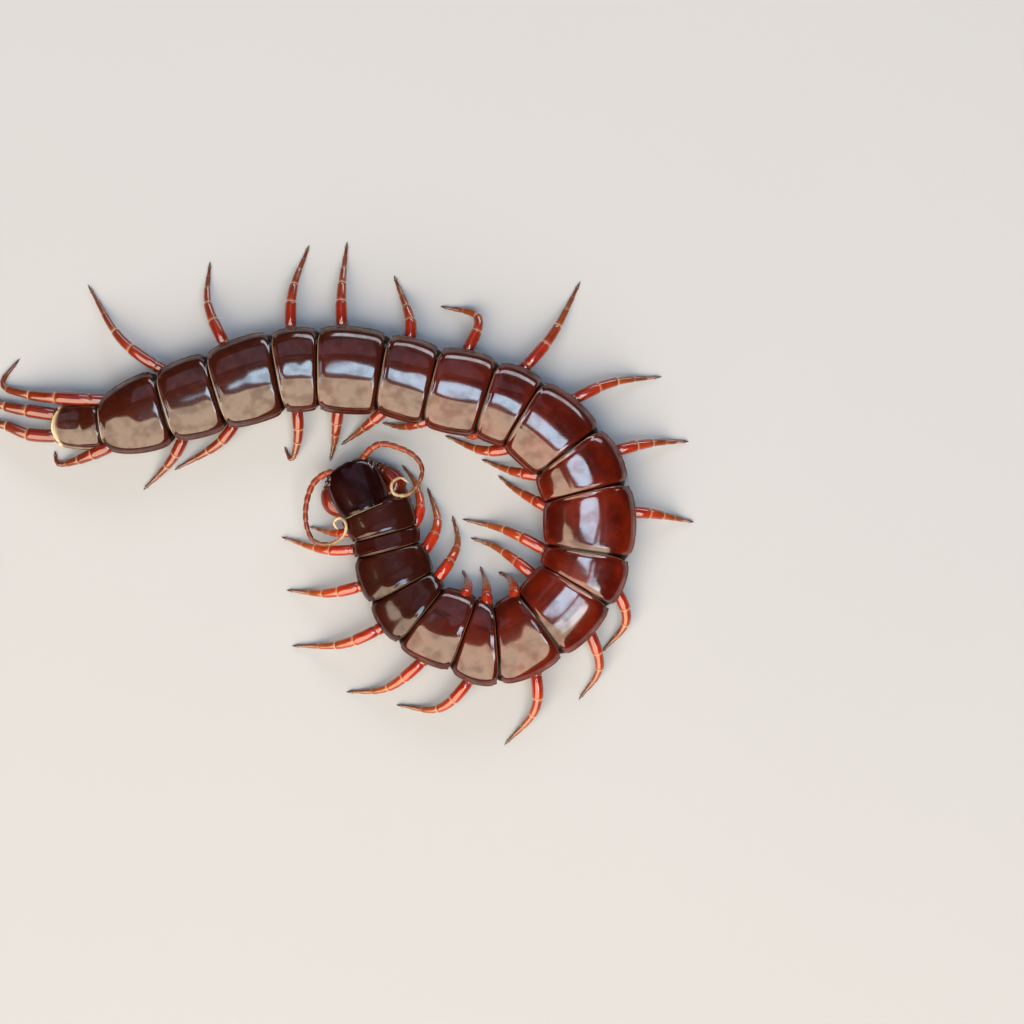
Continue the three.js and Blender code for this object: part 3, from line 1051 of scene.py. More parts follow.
@dataclass(frozen=True)
class TrunkForm:
    """The trunk's centre line, and its width and height along each segment."""

    widths: tuple[float, ...] = PLATE_WIDTHS
    front_width: float = 10.8
    tail_width: float = 5.6
    joint_share: float = 0.92
    height_base: float = 1.1
    height_share: float = 0.42
    belly: float = 1.0
    roundness: float = 2.2
    slope: float = 0.45
    tail_slope: float = 1.0
    tail_segments: int = 2

    @cached_property
    def spine(self) -> Route:
        """The centre line over the floor."""
        return Route([(x, y, 0.0) for x, y in JOINTS])

    @property
    def count(self) -> int:
        """How many segments there are."""
        return len(self.widths)

    def joint_width(self, joint: int) -> float:
        """Measures the trunk at a joint.

        Args:
            joint: Counted from the head.

        Returns:
            The width.
        """
        if joint in (0, self.count):
            return self.front_width if joint == 0 else self.tail_width
        return self.joint_share * min(self.widths[joint - 1], self.widths[joint])

    def station(self, segment: int, share: Number) -> tuple[np.ndarray, np.ndarray, np.ndarray]:
        """Places on the centre line.

        Args:
            segment: Counted from 0.
            share: Of the segment's length, a little under 0 or over 1 where plates overlap.

        Returns:
            Points, directions towards the tail and directions to the left.
        """
        share = np.atleast_1d(share).astype(float)
        front, rear = (self.spine.heading((segment + k) / self.count) for k in (0, 1))
        along = unit(front + (rear - front) * share[:, None])
        return self.spine.at((segment + share) / self.count), along, np.cross(along, UP)

    def size(self, segment: int, share: Number) -> tuple[np.ndarray, np.ndarray]:
        """Measures the trunk along one segment.

        Args:
            segment: Counted from 0.
            share: Of the segment's length.

        Returns:
            Half the width, and the height.
        """
        inside = np.clip(share, 0, 1)
        front, rear, own = self.joint_width(segment), self.joint_width(segment + 1), self.widths[segment]
        bulge = (own - (front + rear) / 2) * np.sqrt(4 * inside * (1 - inside))
        width = front + (rear - front) * inside + bulge
        before, after = self.widths[max(segment - 1, 0)], self.widths[min(segment + 1, self.count - 1)]
        slope = self.tail_slope if segment >= self.count - self.tail_segments else self.slope
        level = own + slope * (np.where(inside < 0.5, before, after) - own) * np.abs(inside - 0.5)
        return width / 2, self.height_base + self.height_share * level

    def at(self, segment: int, share: Number, out: np.ndarray, z: Number) -> np.ndarray:
        """Places off the centre line.

        Args:
            segment: Counted from 0.
            share: Of the segment's length.
            out: Millimetres to the left.
            z: Height above the floor.

        Returns:
            Points, in the shape of out.
        """
        centre, _, side = self.station(segment, np.ravel(share))
        points = centre + side * np.ravel(out)[:, None]
        points[:, 2] = np.ravel(z)
        return points.reshape(*np.shape(out), 3)


@dataclass
class BackPlates:
    """The twenty-one back plates, each a thin domed shell that lies over the front of the next."""

    shop: Workshop
    form: TrunkForm
    thickness: float = 0.22
    rows: int = 40
    columns: int = 116
    reach: Span = (-0.05, 1.035)
    wide: Stops = (
        (-0.05, 0.9), (0, 0.915), (0.07, 0.935), (0.12, 0.975), (0.22, 0.993), (0.5, 1), (0.85, 1),
        (0.95, 0.985), (1.035, 0.95), (1.2, 0.8),
    )
    tall: Stops = (
        (-0.05, 0.86), (0.03, 0.88), (0.075, 0.89), (0.115, 0.975), (0.2, 0.992), (0.5, 1), (0.8, 0.999),
        (0.94, 0.993), (1.035, 0.978), (1.2, 0.94),
    )
    front_tall: Stops = (
        (-0.05, 0.76), (0.03, 0.78), (0.075, 0.79), (0.115, 0.85), (0.3, 0.89), (0.6, 0.95), (0.87, 1.03),
        (0.96, 1.04), (1.035, 0.965), (1.2, 0.9),
    )
    # Shares of the front strip that lies under the plate before, which the finish paints dark as a shadow.
    band: Span = (0.075, 0.1)
    rims: Ridges = ((0.26, 0.2, 0.1), (0.75, 0.22, -0.07))
    lip: Ridges = ((0.2, 0.16, 0.045), (0.58, 0.2, -0.0405))
    suture_at: float = 0.3
    suture_width: float = 0.15
    suture_depth: float = 0.016
    wave: float = 0.03
    wave_length: float = 6.0
    first_seed: int = 40
    # Width and strength of the pale rear edge, partly the thin chitin's own tone and partly a painted
    # reflection; it grows paler towards the tail.
    pale_edge: float = 0.1
    tail_pale_edge: float = 0.55
    paleness: float = 0.15
    paler_each: float = 0.035
    paler_from: int = 9
    # How much darker the plates grow towards the head and the tail: partly their own tone, partly painted
    # shade.
    front_dusk: float = 0.6
    front_dusk_at: Span = (3.5, 8.5)
    rear_dusk: float = 0.85
    rear_dusk_at: Span = (8.0, 17.0)
    corner_cut: float = 0.05
    tail_bow: float = 0.12
    front_plates: int = 4
    sloped_plates: int = 7

    def kind(self, segment: int) -> PlateKind:
        """Sorts a plate.

        Args:
            segment: Counted from 0.

        Returns:
            Its kind.
        """
        if segment == self.form.count - 1:
            return PlateKind.LAST
        return PlateKind.FRONT if segment < self.front_plates else PlateKind.MIDDLE

    def plain(self, segment: int) -> tuple[np.ndarray, np.ndarray, np.ndarray]:
        """Lays out the outer face of a plate, without its relief.

        Args:
            segment: Counted from 0.

        Returns:
            Points by row and column, and their shares of the segment's length and of half its width.
        """
        turn = np.pi * (0.985 - 0.97 * crowded(self.columns, 0.09))
        x, rise = (signed_power(v, 2 / self.form.roundness) for v in (np.cos(turn), np.sin(turn)))
        low = 0.0 if segment == 0 else self.reach[0]
        bow = self.tail_bow * (1 - x**2) if self.kind(segment) is PlateKind.LAST else 0.0
        high = self.reach[1] + bow - self.corner_cut * np.abs(x) ** 6
        share = low + (high - low) * crowded(self.rows, 0.12)[:, None]
        half, height = self.form.size(segment, share)
        tall = self.front_tall if segment < self.sloped_plates else self.tall
        z = self.form.belly + height / 2 * (1 + eased(share, tall) * rise)
        return self.form.at(segment, share, half * eased(share, self.wide) * x, z), share, x

    def carved(self, segment: int) -> tuple[np.ndarray, Marks]:
        """Raises the rims and lip of a plate and cuts its grooves.

        Args:
            segment: Counted from 0.

        Returns:
            Points by row and column, and the marks.
        """
        kind = self.kind(segment)
        base, share, x = self.plain(segment)
        right, left = grid_distances(base, 1)
        side = np.minimum(right, left)
        front, rear = grid_distances(base, 0)
        behind = step(self.band[0], self.band[1] + 0.05, share) if segment else np.ones_like(share)
        half = self.form.size(segment, share)[0]
        seam = bead(np.abs(x) * half, self.suture_at * half, self.suture_width)
        seam = seam * step(0.13, 0.2, share) * step(0.0, 0.5, rear) * kind.has_sutures
        soft = waves(right, front, self.wave_length, self.first_seed + segment) * step(0.0, 1.2, side)
        height = behind * kind.rim * relief(side, self.rims) + relief(rear, self.lip) * kind.lip
        height = height + self.wave * kind.wave * soft - self.suture_depth * seam
        # The pale rear edge, partly a painted reflection, is widest and palest on the last plate.
        if kind is PlateKind.LAST:
            pale, pale_edge = 1.0, self.tail_pale_edge
        else:
            pale_edge = self.pale_edge
            pale = self.paleness + self.paler_each * max(segment - self.paler_from, 0)
        front_dusk = self.front_dusk * (1 - step(*self.front_dusk_at, segment))
        dusk = max(front_dusk, self.rear_dusk * step(*self.rear_dusk_at, segment))
        # The covered front strip, painted dark as a shadow.
        covered = 1 - step(*self.band, share) if segment else 0 * share
        marks = {
            "band": covered + 0 * side, "rim": bead(side, 0.2, 0.2) * behind * min(kind.rim, 1.0),
            "edge": pale * bead(rear, 0, pale_edge), "suture": seam, "dusk": np.full_like(side, dusk),
        }
        return base + grid_normals(base, 1) * height[..., None], marks

    def build(self) -> None:
        """Makes the plates."""
        finishes = self.shop.finishes
        for segment in range(self.form.count):
            grid, marks = self.carved(segment)
            finish = finishes.front_plate if self.kind(segment) is PlateKind.FRONT else finishes.plate
            plate = shell(grid, self.thickness, 1, marks)
            self.shop.piece(f"back_plate_{segment + 1:02d}", plate, finish, "plates")


@dataclass
class BellyPlates:
    """The twenty-one plates of the underside."""

    shop: Workshop
    form: TrunkForm
    thickness: float = 0.2
    rows: int = 22
    columns: int = 44
    reach: Span = (0.04, 0.985)
    corner_cut: float = 0.06
    share_of_width: float = 0.62
    front_share: float = 0.9
    lift: float = 0.4
    front_lift: float = 0.12
    suture_at: float = 0.36
    suture_depth: float = 0.05

    def build(self) -> None:
        """Makes the plates."""
        v = np.linspace(-1, 1, self.columns)
        low, high = self.reach
        share = low + (high - low - self.corner_cut * v**6) * np.linspace(0, 1, self.rows)[:, None]
        for segment in range(self.form.count):
            half = self.form.size(segment, share)[0] * self.share_of_width
            out = half * (self.front_share + (1 - self.front_share) * step(0.0, 0.6, share)) * v
            z = self.form.belly + self.lift * np.abs(v) ** 3.5 + self.front_lift * bead(share, 0.0, 0.12)
            base = self.form.at(segment, share, out, z)
            seam = bead(np.abs(out), half * self.suture_at, 0.12)
            grid = base - grid_normals(base, -1) * (self.suture_depth * seam)[..., None]
            side, rear = np.minimum(*grid_distances(base, 1)), grid_distances(base, 0)[1]
            marks = {"edge": np.maximum(bead(side, 0, 0.4), bead(rear, 0, 0.25)), "suture": seam}
            plate = shell(grid, self.thickness, -1, marks)
            self.shop.piece(f"belly_plate_{segment + 1:02d}", plate, self.shop.finishes.belly, "plates")


@dataclass
class Flanks:
    """The soft skin between the plates, one closed sleeve, with its small plates and breathing slits."""

    shop: Workshop
    form: TrunkForm
    nodes: Sequence[str]
    section: Stops = (
        (0, 0.03), (0.3, 0.03), (0.55, 0.045), (0.72, 0.11), (0.82, 0.22), (0.84, 0.32), (0.86, 0.4),
        (0.93, 0.47), (0.95, 0.56), (0.9, 0.66), (0.74, 0.78), (0.5, 0.86), (0.25, 0.895), (0, 0.905),
    )
    section_points: int = 38
    size: Stops = ((0, 0.83), (0.12, 0.885), (0.3, 0.905), (0.7, 0.905), (0.88, 0.885), (1, 0.83))
    steps: int = 14
    segment_length: float = 7.0
    mound: float = 0.55
    mound_at: Span = (0.66, 0.27)
    mound_size: Span = (1.25, 1.3)
    fold: float = 0.06
    fold_pitch: float = 38.0
    small_plates: tuple[Place, ...] = (
        (0.36, 0.78, 0.3, (1.5, 0.7, 1.5)), (0.68, 0.78, 0.42, (2.0, 0.7, 0.8)),
    )
    slits: tuple[Place, ...] = ((0.42, 0.82, 0.42, (0.75, 0.9, 0.42)),)
    breathing: tuple[int, ...] = (2, 4, 7, 9, 11, 13, 15, 17, 19)
    lobe: tuple[Point, ...] = ((0.45, 1.0, 1.7), (0.8, 1.15, 1.7), (1.02, 1.0, 1.65), (1.16, 0.9, 1.6))
    lobe_radii: tuple[float, ...] = (0.7, 0.75, 0.5, 0.22)

    def ring(self, segment: int, share: float, shrink: float = 1.0) -> np.ndarray:
        """Makes one ring of the sleeve, from the keel up its left side and down its right.

        Args:
            segment: Counted from 0.
            share: Of the segment's length.
            shrink: Multiplies its size.

        Returns:
            Points.
        """
        half, height = self.form.size(segment, share)
        right = Route(self.section).at(np.linspace(0, 1, self.section_points))
        x, z = np.vstack([right, right[-2:0:-1] * (-1, 1)]).T
        scale = eased(share, self.size) * shrink
        near = (share - self.mound_at[0]) * self.segment_length / self.mound_size[0]
        swell = self.mound * np.exp(-near**2 - ((z - self.mound_at[1]) * height / self.mound_size[1]) ** 2)
        pleats = self.fold * np.sin(self.fold_pitch * z) * step(0.1, 0.2, z) * (1 - step(0.5, 0.6, z))
        across = np.abs(x)
        out = np.sign(x) * (across * half * scale + (swell * step(0.4, 0.7, across) + pleats) * shrink)
        rise = (z - 0.5) * height * scale + 0.5 * height
        return self.form.at(segment, np.full_like(x, share), out, self.form.belly + rise)

    def spots(self, segments: Iterable[int], places: Sequence[Place]) -> list[Spot]:
        """Finds the same places on both flanks of several segments.

        Args:
            segments: Counted from 0.
            places: Where on a flank, and how big.

        Returns:
            Spots for copies that point towards the tail.
        """
        spots = []
        for segment, side, (share, out, z, sizes) in product(segments, Side, places):
            half, height = self.form.size(segment, np.array([share]))
            rise = self.form.belly + z * height
            point = self.form.at(segment, share, side.value * out * half, rise)[0]
            spots.append((point, self.form.station(segment, share)[1][0], sizes))
        return spots

    def build(self) -> None:
        """Makes the sleeve, which stands for the trunk's solids, then what is set in it."""
        shop, last = self.shop, self.form.count - 1
        rings = [self.ring(0, 0.02)]
        for segment in range(self.form.count):
            rings += [self.ring(segment, share) for share in (np.arange(self.steps) + 0.5) / self.steps]
        rings += [self.ring(last, 1.0 + 0.1 * k, math.sqrt(1 - k * k)) for k in (0.3, 0.6, 0.85, 0.97)]
        shop.piece("trunk_skin", stack(np.array(rings)), shop.finishes.skin, "plates", self.nodes)
        plates = self.spots(range(last), self.small_plates)
        shop.copies("flank_plates", blob(16, 8), plates, shop.finishes.belly, "plates")
        slits = self.spots(self.breathing, self.slits)
        shop.copies("breathing_slits", loop_pattern(24, 8, 0.24), slits, shop.finishes.tooth, "plates")
        self.build_tail_lobes()

    def build_tail_lobes(self) -> None:
        """Makes two lobes below the last plate, each a short cone that ends in spikes."""
        last = self.form.count - 1
        tail = self.form.station(last, 1.0)[1][0]
        at, out, z = np.array(self.lobe).T
        marks = {"thick": np.array(self.lobe_radii), "share": 0.4 + 0 * at, "ring": 0 * at}
        spikes = []
        for side in Side:
            lobe = self.form.at(last, at, side.value * out, z)
            self.shop.along(f"tail_lobe_{side.word}", lobe, marks, 20, self.shop.finishes.leg, "plates")
            across = side.value * np.cross(tail, UP)
            for aside, up in ((0.12, 0.1), (-0.12, -0.05)):
                spikes.append((lobe[-1] + across * aside + UP * up, tail + across * aside, (0.5, 0.7, 0.7)))
        self.shop.copies("tail_spikes", thorn(0.1), spikes, self.shop.finishes.claw, "plates")


# The head


@dataclass
class Head:
    """The head plate over its capsule, four simple eyes a side, the lip and the palps."""

    shop: Workshop
    axis: Span = (-0.39, 0.92)
    shift: float = -1.35
    length: float = 7.6
    width: float = 8.5
    floor: float = 3.3
    rim: float = 4.5
    top: float = 6.9
    thickness: float = 0.24
    roundness: float = 2.15
    wide: Stops = (
        (-0.05, 0.83), (0, 0.86), (0.08, 0.93), (0.3, 1), (0.58, 0.995), (0.78, 0.94), (0.91, 0.77),
        (0.97, 0.55), (1, 0.33),
    )
    tall: Stops = (
        (-0.05, 0.98), (-0.02, 1.05), (0.01, 1.06), (0.1, 1.0), (0.35, 0.9), (0.6, 0.79), (0.8, 0.68),
        (0.92, 0.57), (1, 0.41),
    )
    rows: int = 64
    columns: int = 96
    reach: Span = (-0.045, 1.0)
    corner_cut: float = 0.03
    rims: Ridges = ((0.18, 0.15, 0.05), (0.5, 0.16, -0.04))
    lip: Ridges = ((0.2, 0.15, 0.04),)
    dip: float = 0.16
    wave: float = 0.012
    wave_length: float = 5.0
    seed: int = 11
    seam_at: float = 1.3
    seam_depth: float = 0.04
    capsule_at: tuple[float, ...] = (0.0, 0.02, 0.06, 0.2, 0.4, 0.6, 0.75, 0.85, 0.92, 0.965, 0.985)
    capsule_sides: int = 56
    capsule_inset: float = 0.3
    capsule_drop: float = 0.36
    eyes: Stops = ((0.74, 0.9), (0.83, 0.85), (0.79, 0.98), (0.87, 0.93))
    eye_size: Point = (0.693, 0.66, 0.627)
    eye_sunk: float = 0.04
    lip_at: Point = (6.9, 2.1, 3.75)  # forwards, half its width and its height
    lip_bow: float = 0.9
    lip_radius: Span = (0.42, 0.26)
    palp: tuple[Article, ...] = (
        Article(0.3, 0.5, 0.5), Article(0.28, 0.44, 0.5), Article(0.24, 0.38, 0.3), Article(0.18, 0.2),
    )
    palp_route: tuple[Point, ...] = ((2.0, 1.6, 3.1), (4.6, 2.1, 3.0), (6.3, 1.5, 2.9), (7.0, 0.7, 2.8))

    @cached_property
    def along(self) -> np.ndarray:
        """The direction that the head faces."""
        return unit(np.array([*self.axis, 0.0]))

    @cached_property
    def side(self) -> np.ndarray:
        """The direction to the head's right."""
        return np.cross(self.along, UP)

    def at(self, along: Number, right: Number, z: Number) -> np.ndarray:
        """Places by the head's own axis.

        Args:
            along: Distance forwards from the middle of the rear edge.
            right: Distance to the right.
            z: Height above the floor.

        Returns:
            Points.
        """
        along, right, z = np.broadcast_arrays(along, right, z)
        rear = np.array([*JOINTS[0], 0.0]) + self.side * self.shift
        points = rear + along[..., None] * self.along + right[..., None] * self.side
        points[..., 2] = z
        return points

    def dome(self, at: np.ndarray, x: np.ndarray) -> tuple[np.ndarray, np.ndarray]:
        """Shapes the plate.

        Args:
            at: Shares of its length.
            x: Shares of its half width.

        Returns:
            Distances to the right, and heights.
        """
        arch = np.clip(1 - np.abs(x) ** self.roundness, 0, 1) ** (1 / self.roundness)
        z = self.rim + (self.top - self.rim) * eased(at, self.tall) * arch
        return self.width / 2 * eased(at, self.wide) * x, z

    def build(self) -> None:
        """Makes the head."""
        self.build_plate()
        self.build_capsule()
        self.build_eyes()
        self.build_mouth()

    def build_plate(self) -> None:
        """Makes the polished plate over the head, with a thin raised rim and a dip between the feelers."""
        x = signed_power(np.cos(np.pi * np.linspace(0.985, 0.015, self.columns)), 2 / self.roundness)
        low, high = self.reach
        at = low + (high - low - self.corner_cut * x**4) * crowded(self.rows, 0.12)[:, None]
        out, z = self.dome(at, x)
        base = self.at(at * self.length, out, z)
        side = np.minimum(*grid_distances(base, 1))
        rear, front = grid_distances(base, 0)
        seam = bead(np.abs(out), self.seam_at, 0.1) * (1 - step(0.06, 0.2, at))
        height = relief(side, self.rims) + relief(rear, self.lip)
        height = height + self.wave * waves(side, front, self.wave_length, self.seed) * step(0, 1, side)
        height = height - self.dip * bead(out, 0, 0.7) * step(0.72, 0.95, at) - self.seam_depth * seam
        marks = {
            "band": 0 * seam, "dusk": 0 * seam, "suture": seam,
            # The pale rear edge is partly a painted highlight along the head's rear margin.
            "rim": 0.5 * bead(side, 0.15, 0.15), "edge": 0.5 * bead(rear, 0, 0.09),
        }
        plate = shell(base + grid_normals(base, 1) * height[..., None], self.thickness, 1, marks)
        self.shop.piece("head_plate", plate, self.shop.finishes.head, "head_shield", ["head"])

    def build_capsule(self) -> None:
        """Makes the closed body of the head below its plate."""
        at, turn = np.array(self.capsule_at)[:, None], around(self.capsule_sides)
        half = (self.width / 2 - self.capsule_inset) * eased(at, self.wide) * step(-0.08, 0.04, at)
        dome = 0.9 * (self.top - self.rim) * eased(at, self.tall) - self.capsule_drop
        under = (self.rim - self.floor) * eased(at, self.tall) * (1 - 0.55 * step(0.7, 1.0, at))
        rise = np.where(turn < np.pi, dome * np.sin(turn), -under * np.abs(np.sin(turn)) ** 0.6)
        rings = self.at(at * self.length, half * np.cos(turn), self.rim + rise)
        capsule = stack(rings, {"share": 0.25 + 0 * rise, "ring": 0 * rise})
        self.shop.piece("head_capsule", capsule, self.shop.finishes.venom_leg, "head_shield")

    def build_eyes(self) -> None:
        """Makes four simple eyes on each front corner."""
        spots = []
        for (at, x), mirror in product(self.eyes, (-1, 1)):
            out, z = self.dome(np.array([at]), np.array([mirror * x]))
            point = self.at(at * self.length, out[0], z[0] - self.eye_sunk)
            spots.append((point, self.along, self.eye_size))
        self.shop.copies("simple_eyes", blob(24, 16), spots, self.shop.finishes.eye, "head_shield")

    def build_mouth(self) -> None:
        """Makes the lip at the front and a leg-like palp on each side under the head."""
        finish = self.shop.finishes.mouth
        t = np.linspace(-1, 1, 24)
        front, half, z = self.lip_at
        lip = self.at(front - self.lip_bow * t**2, half * t, z)
        middle, end = self.lip_radius
        marks = {"thick": middle + (end - middle) * t**2, "share": 0.3 + 0 * t, "ring": 0 * t}
        self.shop.along("upper_lip", lip, marks, 14, finish, "head_shield")
        for side in Side:
            route = Route([self.at(along, -side.value * out, z) for along, out, z in self.palp_route])
            at, marks = jointed(self.palp, 0.6)
            self.shop.along(f"palp_{side.word}", route.by_length(at), marks, 14, finish, "head_shield")


# The venom claws


@dataclass
class VenomClaws:
    """The plate under the throat with its teeth, and the two stout jointed legs that end in fangs."""

    shop: Workshop
    head: Head
    routes: dict[Side, tuple[Point, ...]] = field(default_factory=lambda: {
        Side.LEFT: (
            (0.6, 1.8, 1.9), (2.3, 4.35, 1.9), (3.9, 4.5, 1.9), (5.5, 3.6, 1.8), (6.8, 2.4, 1.7),
            (7.4, 1.3, 1.5), (7.4, 0.2, 1.3),
        ),
        Side.RIGHT: (
            (0.4, 2.4, 1.9), (1.3, 5.7, 1.9), (2.6, 5.8, 1.9), (4.2, 4.95, 1.9), (5.7, 3.9, 1.8),
            (6.9, 2.6, 1.7), (7.5, 1.4, 1.5), (7.5, 0.3, 1.3),
        ),
    })
    throat: Stops = ((-2.0, 1.0), (-0.5, 1.02), (1.2, 1.0), (3.2, 0.86), (4.1, 0.7), (4.6, 0.5))
    throat_width: float = 6.2
    throat_z: Span = (0.7, 2.9)
    throat_dent: float = 0.12
    teeth: int = 5
    tooth_size: Point = (0.55, 0.9, 0.9)
    radii: Stops = (
        (0, 1.2), (0.15, 1.6), (0.35, 1.55), (0.5, 1.25), (0.62, 0.9), (0.74, 0.6), (0.87, 0.34),
        (1, 0.06),
    )
    joints: tuple[float, ...] = (0.53, 0.59, 0.65)
    crease_width: float = 0.009
    crease_depth: float = 0.2
    crease_rows: tuple[float, ...] = (-0.012, -0.004, 0.004, 0.012)
    fang_reach: Span = (-0.01, 0.99)
    tooth_at: Span = (0.3, 1.75)
    tooth_step: Span = (0.05, 0.28)

    def build(self) -> None:
        """Makes the throat plate and both claws."""
        self.build_throat()
        for side in Side:
            self.build_claw(side)

    def build_throat(self) -> None:
        """Makes the broad plate between the roots of the claws, with teeth along its front edge."""
        low, high = self.throat_z
        turn = around(48)
        along, wide = np.array(self.throat).T[:, :, None]
        out = self.throat_width / 2 * wide * signed_power(np.cos(turn), 0.7)
        dent = self.throat_dent * bead(out, 0, 0.35) * (np.sin(turn) < 0)
        rings = self.head.at(along, out, (low + high) / 2 + (high - low) / 2 * np.sin(turn) + dent)
        plate = stack(rings, {"share": 0.3 + 0 * out, "ring": 0 * out})
        self.shop.piece("throat_plate", plate, self.shop.finishes.venom_leg, "venom_claws")
        front = self.throat[-1][0] - 0.1
        spots = []
        out, z = self.tooth_at
        back, beside = self.tooth_step
        for mirror, k in product((-1, 1), range(self.teeth)):
            point = self.head.at(front - back * k, mirror * (out + beside * k), z)
            spots.append((point, self.head.along, self.tooth_size))
        self.shop.copies("throat_teeth", thorn(0.0), spots, self.shop.finishes.tooth, "venom_claws")

    def build_claw(self, side: Side) -> None:
        """Makes one claw: a swollen first joint and two short ones, then the curved fang.

        Args:
            side: Which claw.
        """
        route = Route([self.head.at(along, -side.value * out, z) for along, out, z in self.routes[side]])
        fang_at = self.joints[-1]
        creases = [joint + off for joint in self.joints[:-1] for off in self.crease_rows]
        at = np.unique([*np.linspace(0, fang_at, 30), *creases])
        crease = sum(bead(at, joint, self.crease_width) for joint in self.joints)
        thick = eased(at, self.radii) * (1 - self.crease_depth * crease) * 0.97
        marks = {"thick": thick, "share": at / fang_at, "ring": 0.7 * np.minimum(crease, 1)}
        self.shop.along(
            f"venom_leg_{side.word}", route.by_length(at), marks, 32, self.shop.finishes.venom_leg,
            "venom_claws", [f"venom_claw_{side.word}"],
        )
        at = np.linspace(fang_at + self.fang_reach[0], self.fang_reach[1], 26)
        far = (at - at[0]) / (at[-1] - at[0])
        thick = eased(at, self.radii) * (0.86 + 0.1 * step(0, 0.15, far))
        marks = {"thick": thick, "share": far, "ring": 0 * far}
        fang = self.shop.finishes.fang
        self.shop.along(f"fang_{side.word}", route.by_length(at), marks, 22, fang, "venom_claws")


# The feelers


@dataclass
class Feelers:
    """The two feelers, each a string of eighteen beads that ends in a coil."""

    shop: Workshop
    routes: dict[Side, tuple[Point, ...]] = field(default_factory=lambda: {
        Side.LEFT: (
            (-26.4, 4.6, 4.4), (-28.0, 6.1, 4.5), (-30.5, 4.8, 4.6), (-31.8, 1.8, 4.6),
            (-31.9, -1.9, 4.5), (-30.7, -4.5, 4.4), (-28.0, -4.9, 4.7), (-25.9, -3.3, 5.6),
            (-25.8, -1.6, 6.0), (-26.8, -0.9, 5.8), (-27.6, -1.7, 5.5), (-27.0, -2.7, 5.2),
        ),
        Side.RIGHT: (
            (-23.6, 6.2, 4.4), (-23.0, 8.5, 4.5), (-20.6, 10.5, 4.8), (-17.1, 9.8, 5.2),
            (-14.9, 8.5, 5.5), (-13.9, 6.6, 5.4), (-14.6, 4.2, 5.6), (-16.4, 2.6, 6.1),
            (-18.3, 2.9, 6.5), (-18.6, 4.4, 6.4), (-17.3, 5.3, 6.1), (-16.0, 4.6, 5.9),
        ),
    })
    beads: int = 18
    radius: Span = (0.6, 0.19)
    swell: Stops = ((0, 0.76), (0.08, 0.88), (0.3, 0.98), (0.6, 1.05), (0.85, 1.02), (0.95, 0.9), (1, 0.76))
    ring: float = 0.32
    sides: int = 18

    def build(self) -> None:
        """Makes both feelers."""
        local = np.array(self.swell)[:-1, 0]
        at = np.append((np.arange(self.beads)[:, None] + local).ravel() / self.beads, 1.0)
        inside = np.append(np.tile(local, self.beads), 1.0)
        root, tip = self.radius
        thick = (root + (tip - root) * at**0.85) * eased(inside, self.swell)
        thick = thick * np.sqrt(np.clip((1.004 - at) / 0.02, 0, 1))
        ring = self.ring * (1 - step(0.0, 0.14, inside)) * (at > 0.01)
        marks = {"thick": thick, "share": at, "ring": ring}
        finish = self.shop.finishes.feeler
        for side in Side:
            path = Route(self.routes[side]).by_length(at)
            nodes = [f"antenna_{side.word}_{part}" for part in ("base", "tip")]
            self.shop.along(f"feeler_{side.word}", path, marks, self.sides, finish, "antennae", nodes)


# The legs

LEG_BENDS = {
    Side.LEFT: (
        ((-27.3, -3.3), (-31.6, -2.3)), ((-29.0, -5.9), (-36.0, -3.9)),
        ((-28.5, -12.6), (-35.2, -12.2)), ((-26.2, -20.5), (-34.4, -20.9)),
        ((-19.5, -27.4), (-25.9, -28.1)), ((-11.2, -30.5), (-18.1, -30.1)),
        ((3.7, -30.4), (-1.2, -36.4)), ((13.6, -24.2), (10.4, -29.3)), ((17.8, -16.7), (13.9, -22.0)),
        ((21.4, -0.2), (28.4, -1.6)), ((21.4, 10.7), (27.6, 11.0)), ((15.5, 20.1), (23.4, 21.1)),
        ((5.9, 27.0), (10.7, 36.0)), ((-5.3, 30.2), (-11.2, 32.1)), ((-15.7, 29.0), (-18.4, 36.9)),
        ((-26.5, 34.4), (-25.7, 42.2)), ((-34.1, 34.4), (-31.6, 41.7)), ((-47.3, 32.4), (-47.1, 39.1)),
        ((-60.6, 26.7), (-66.2, 35.5)), ((-75.9, 18.4), (-79.4, 19.9), (-76.7, 24.0)),
        ((-74.2, 15.6), (-79.6, 16.7), (-86.6, 19.6)),
    ),
    Side.RIGHT: (
        ((-16.2, 1.6), (-16.9, 4.2)), ((-14.3, 0.0), (-14.9, 4.2), (-17.2, 7.4)),
        ((-11.6, -1.9), (-13.2, 3.9)), ((-8.5, -5.1), (-9.3, -0.5)), ((-6.8, -11.3), (-7.8, -9.0)),
        ((-4.0, -11.3), (-5.0, -8.4)), ((0.0, -10.8), (-2.2, -9.3)), ((-2.3, -5.6), (-6.5, -4.0)),
        ((-1.1, -2.8), (-7.8, -1.1)), ((0.3, 3.7), (-2.2, 5.7)), ((0.0, 6.4), (-4.8, 8.2)),
        ((-3.9, 9.5), (-10.5, 11.9)), ((-6.2, 11.9), (-8.6, 12.7)), ((-16.7, 13.3), (-20.3, 13.9)),
        ((-22.9, 13.2), (-26.7, 10.4)), ((-27.6, 11.2), (-28.4, 7.9)),
        ((-33.3, 11.5), (-34.4, 8.2), (-35.5, 10.2)), ((-45.0, 11.2), (-52.7, 6.5)),
        ((-52.7, 8.4), (-57.5, 3.4)), ((-68.2, 7.9), (-70.8, 7.6), (-71.3, 9.6)),
        ((-75.2, 12.1), (-79.4, 13.6), (-87.0, 13.4)),
    ),
}


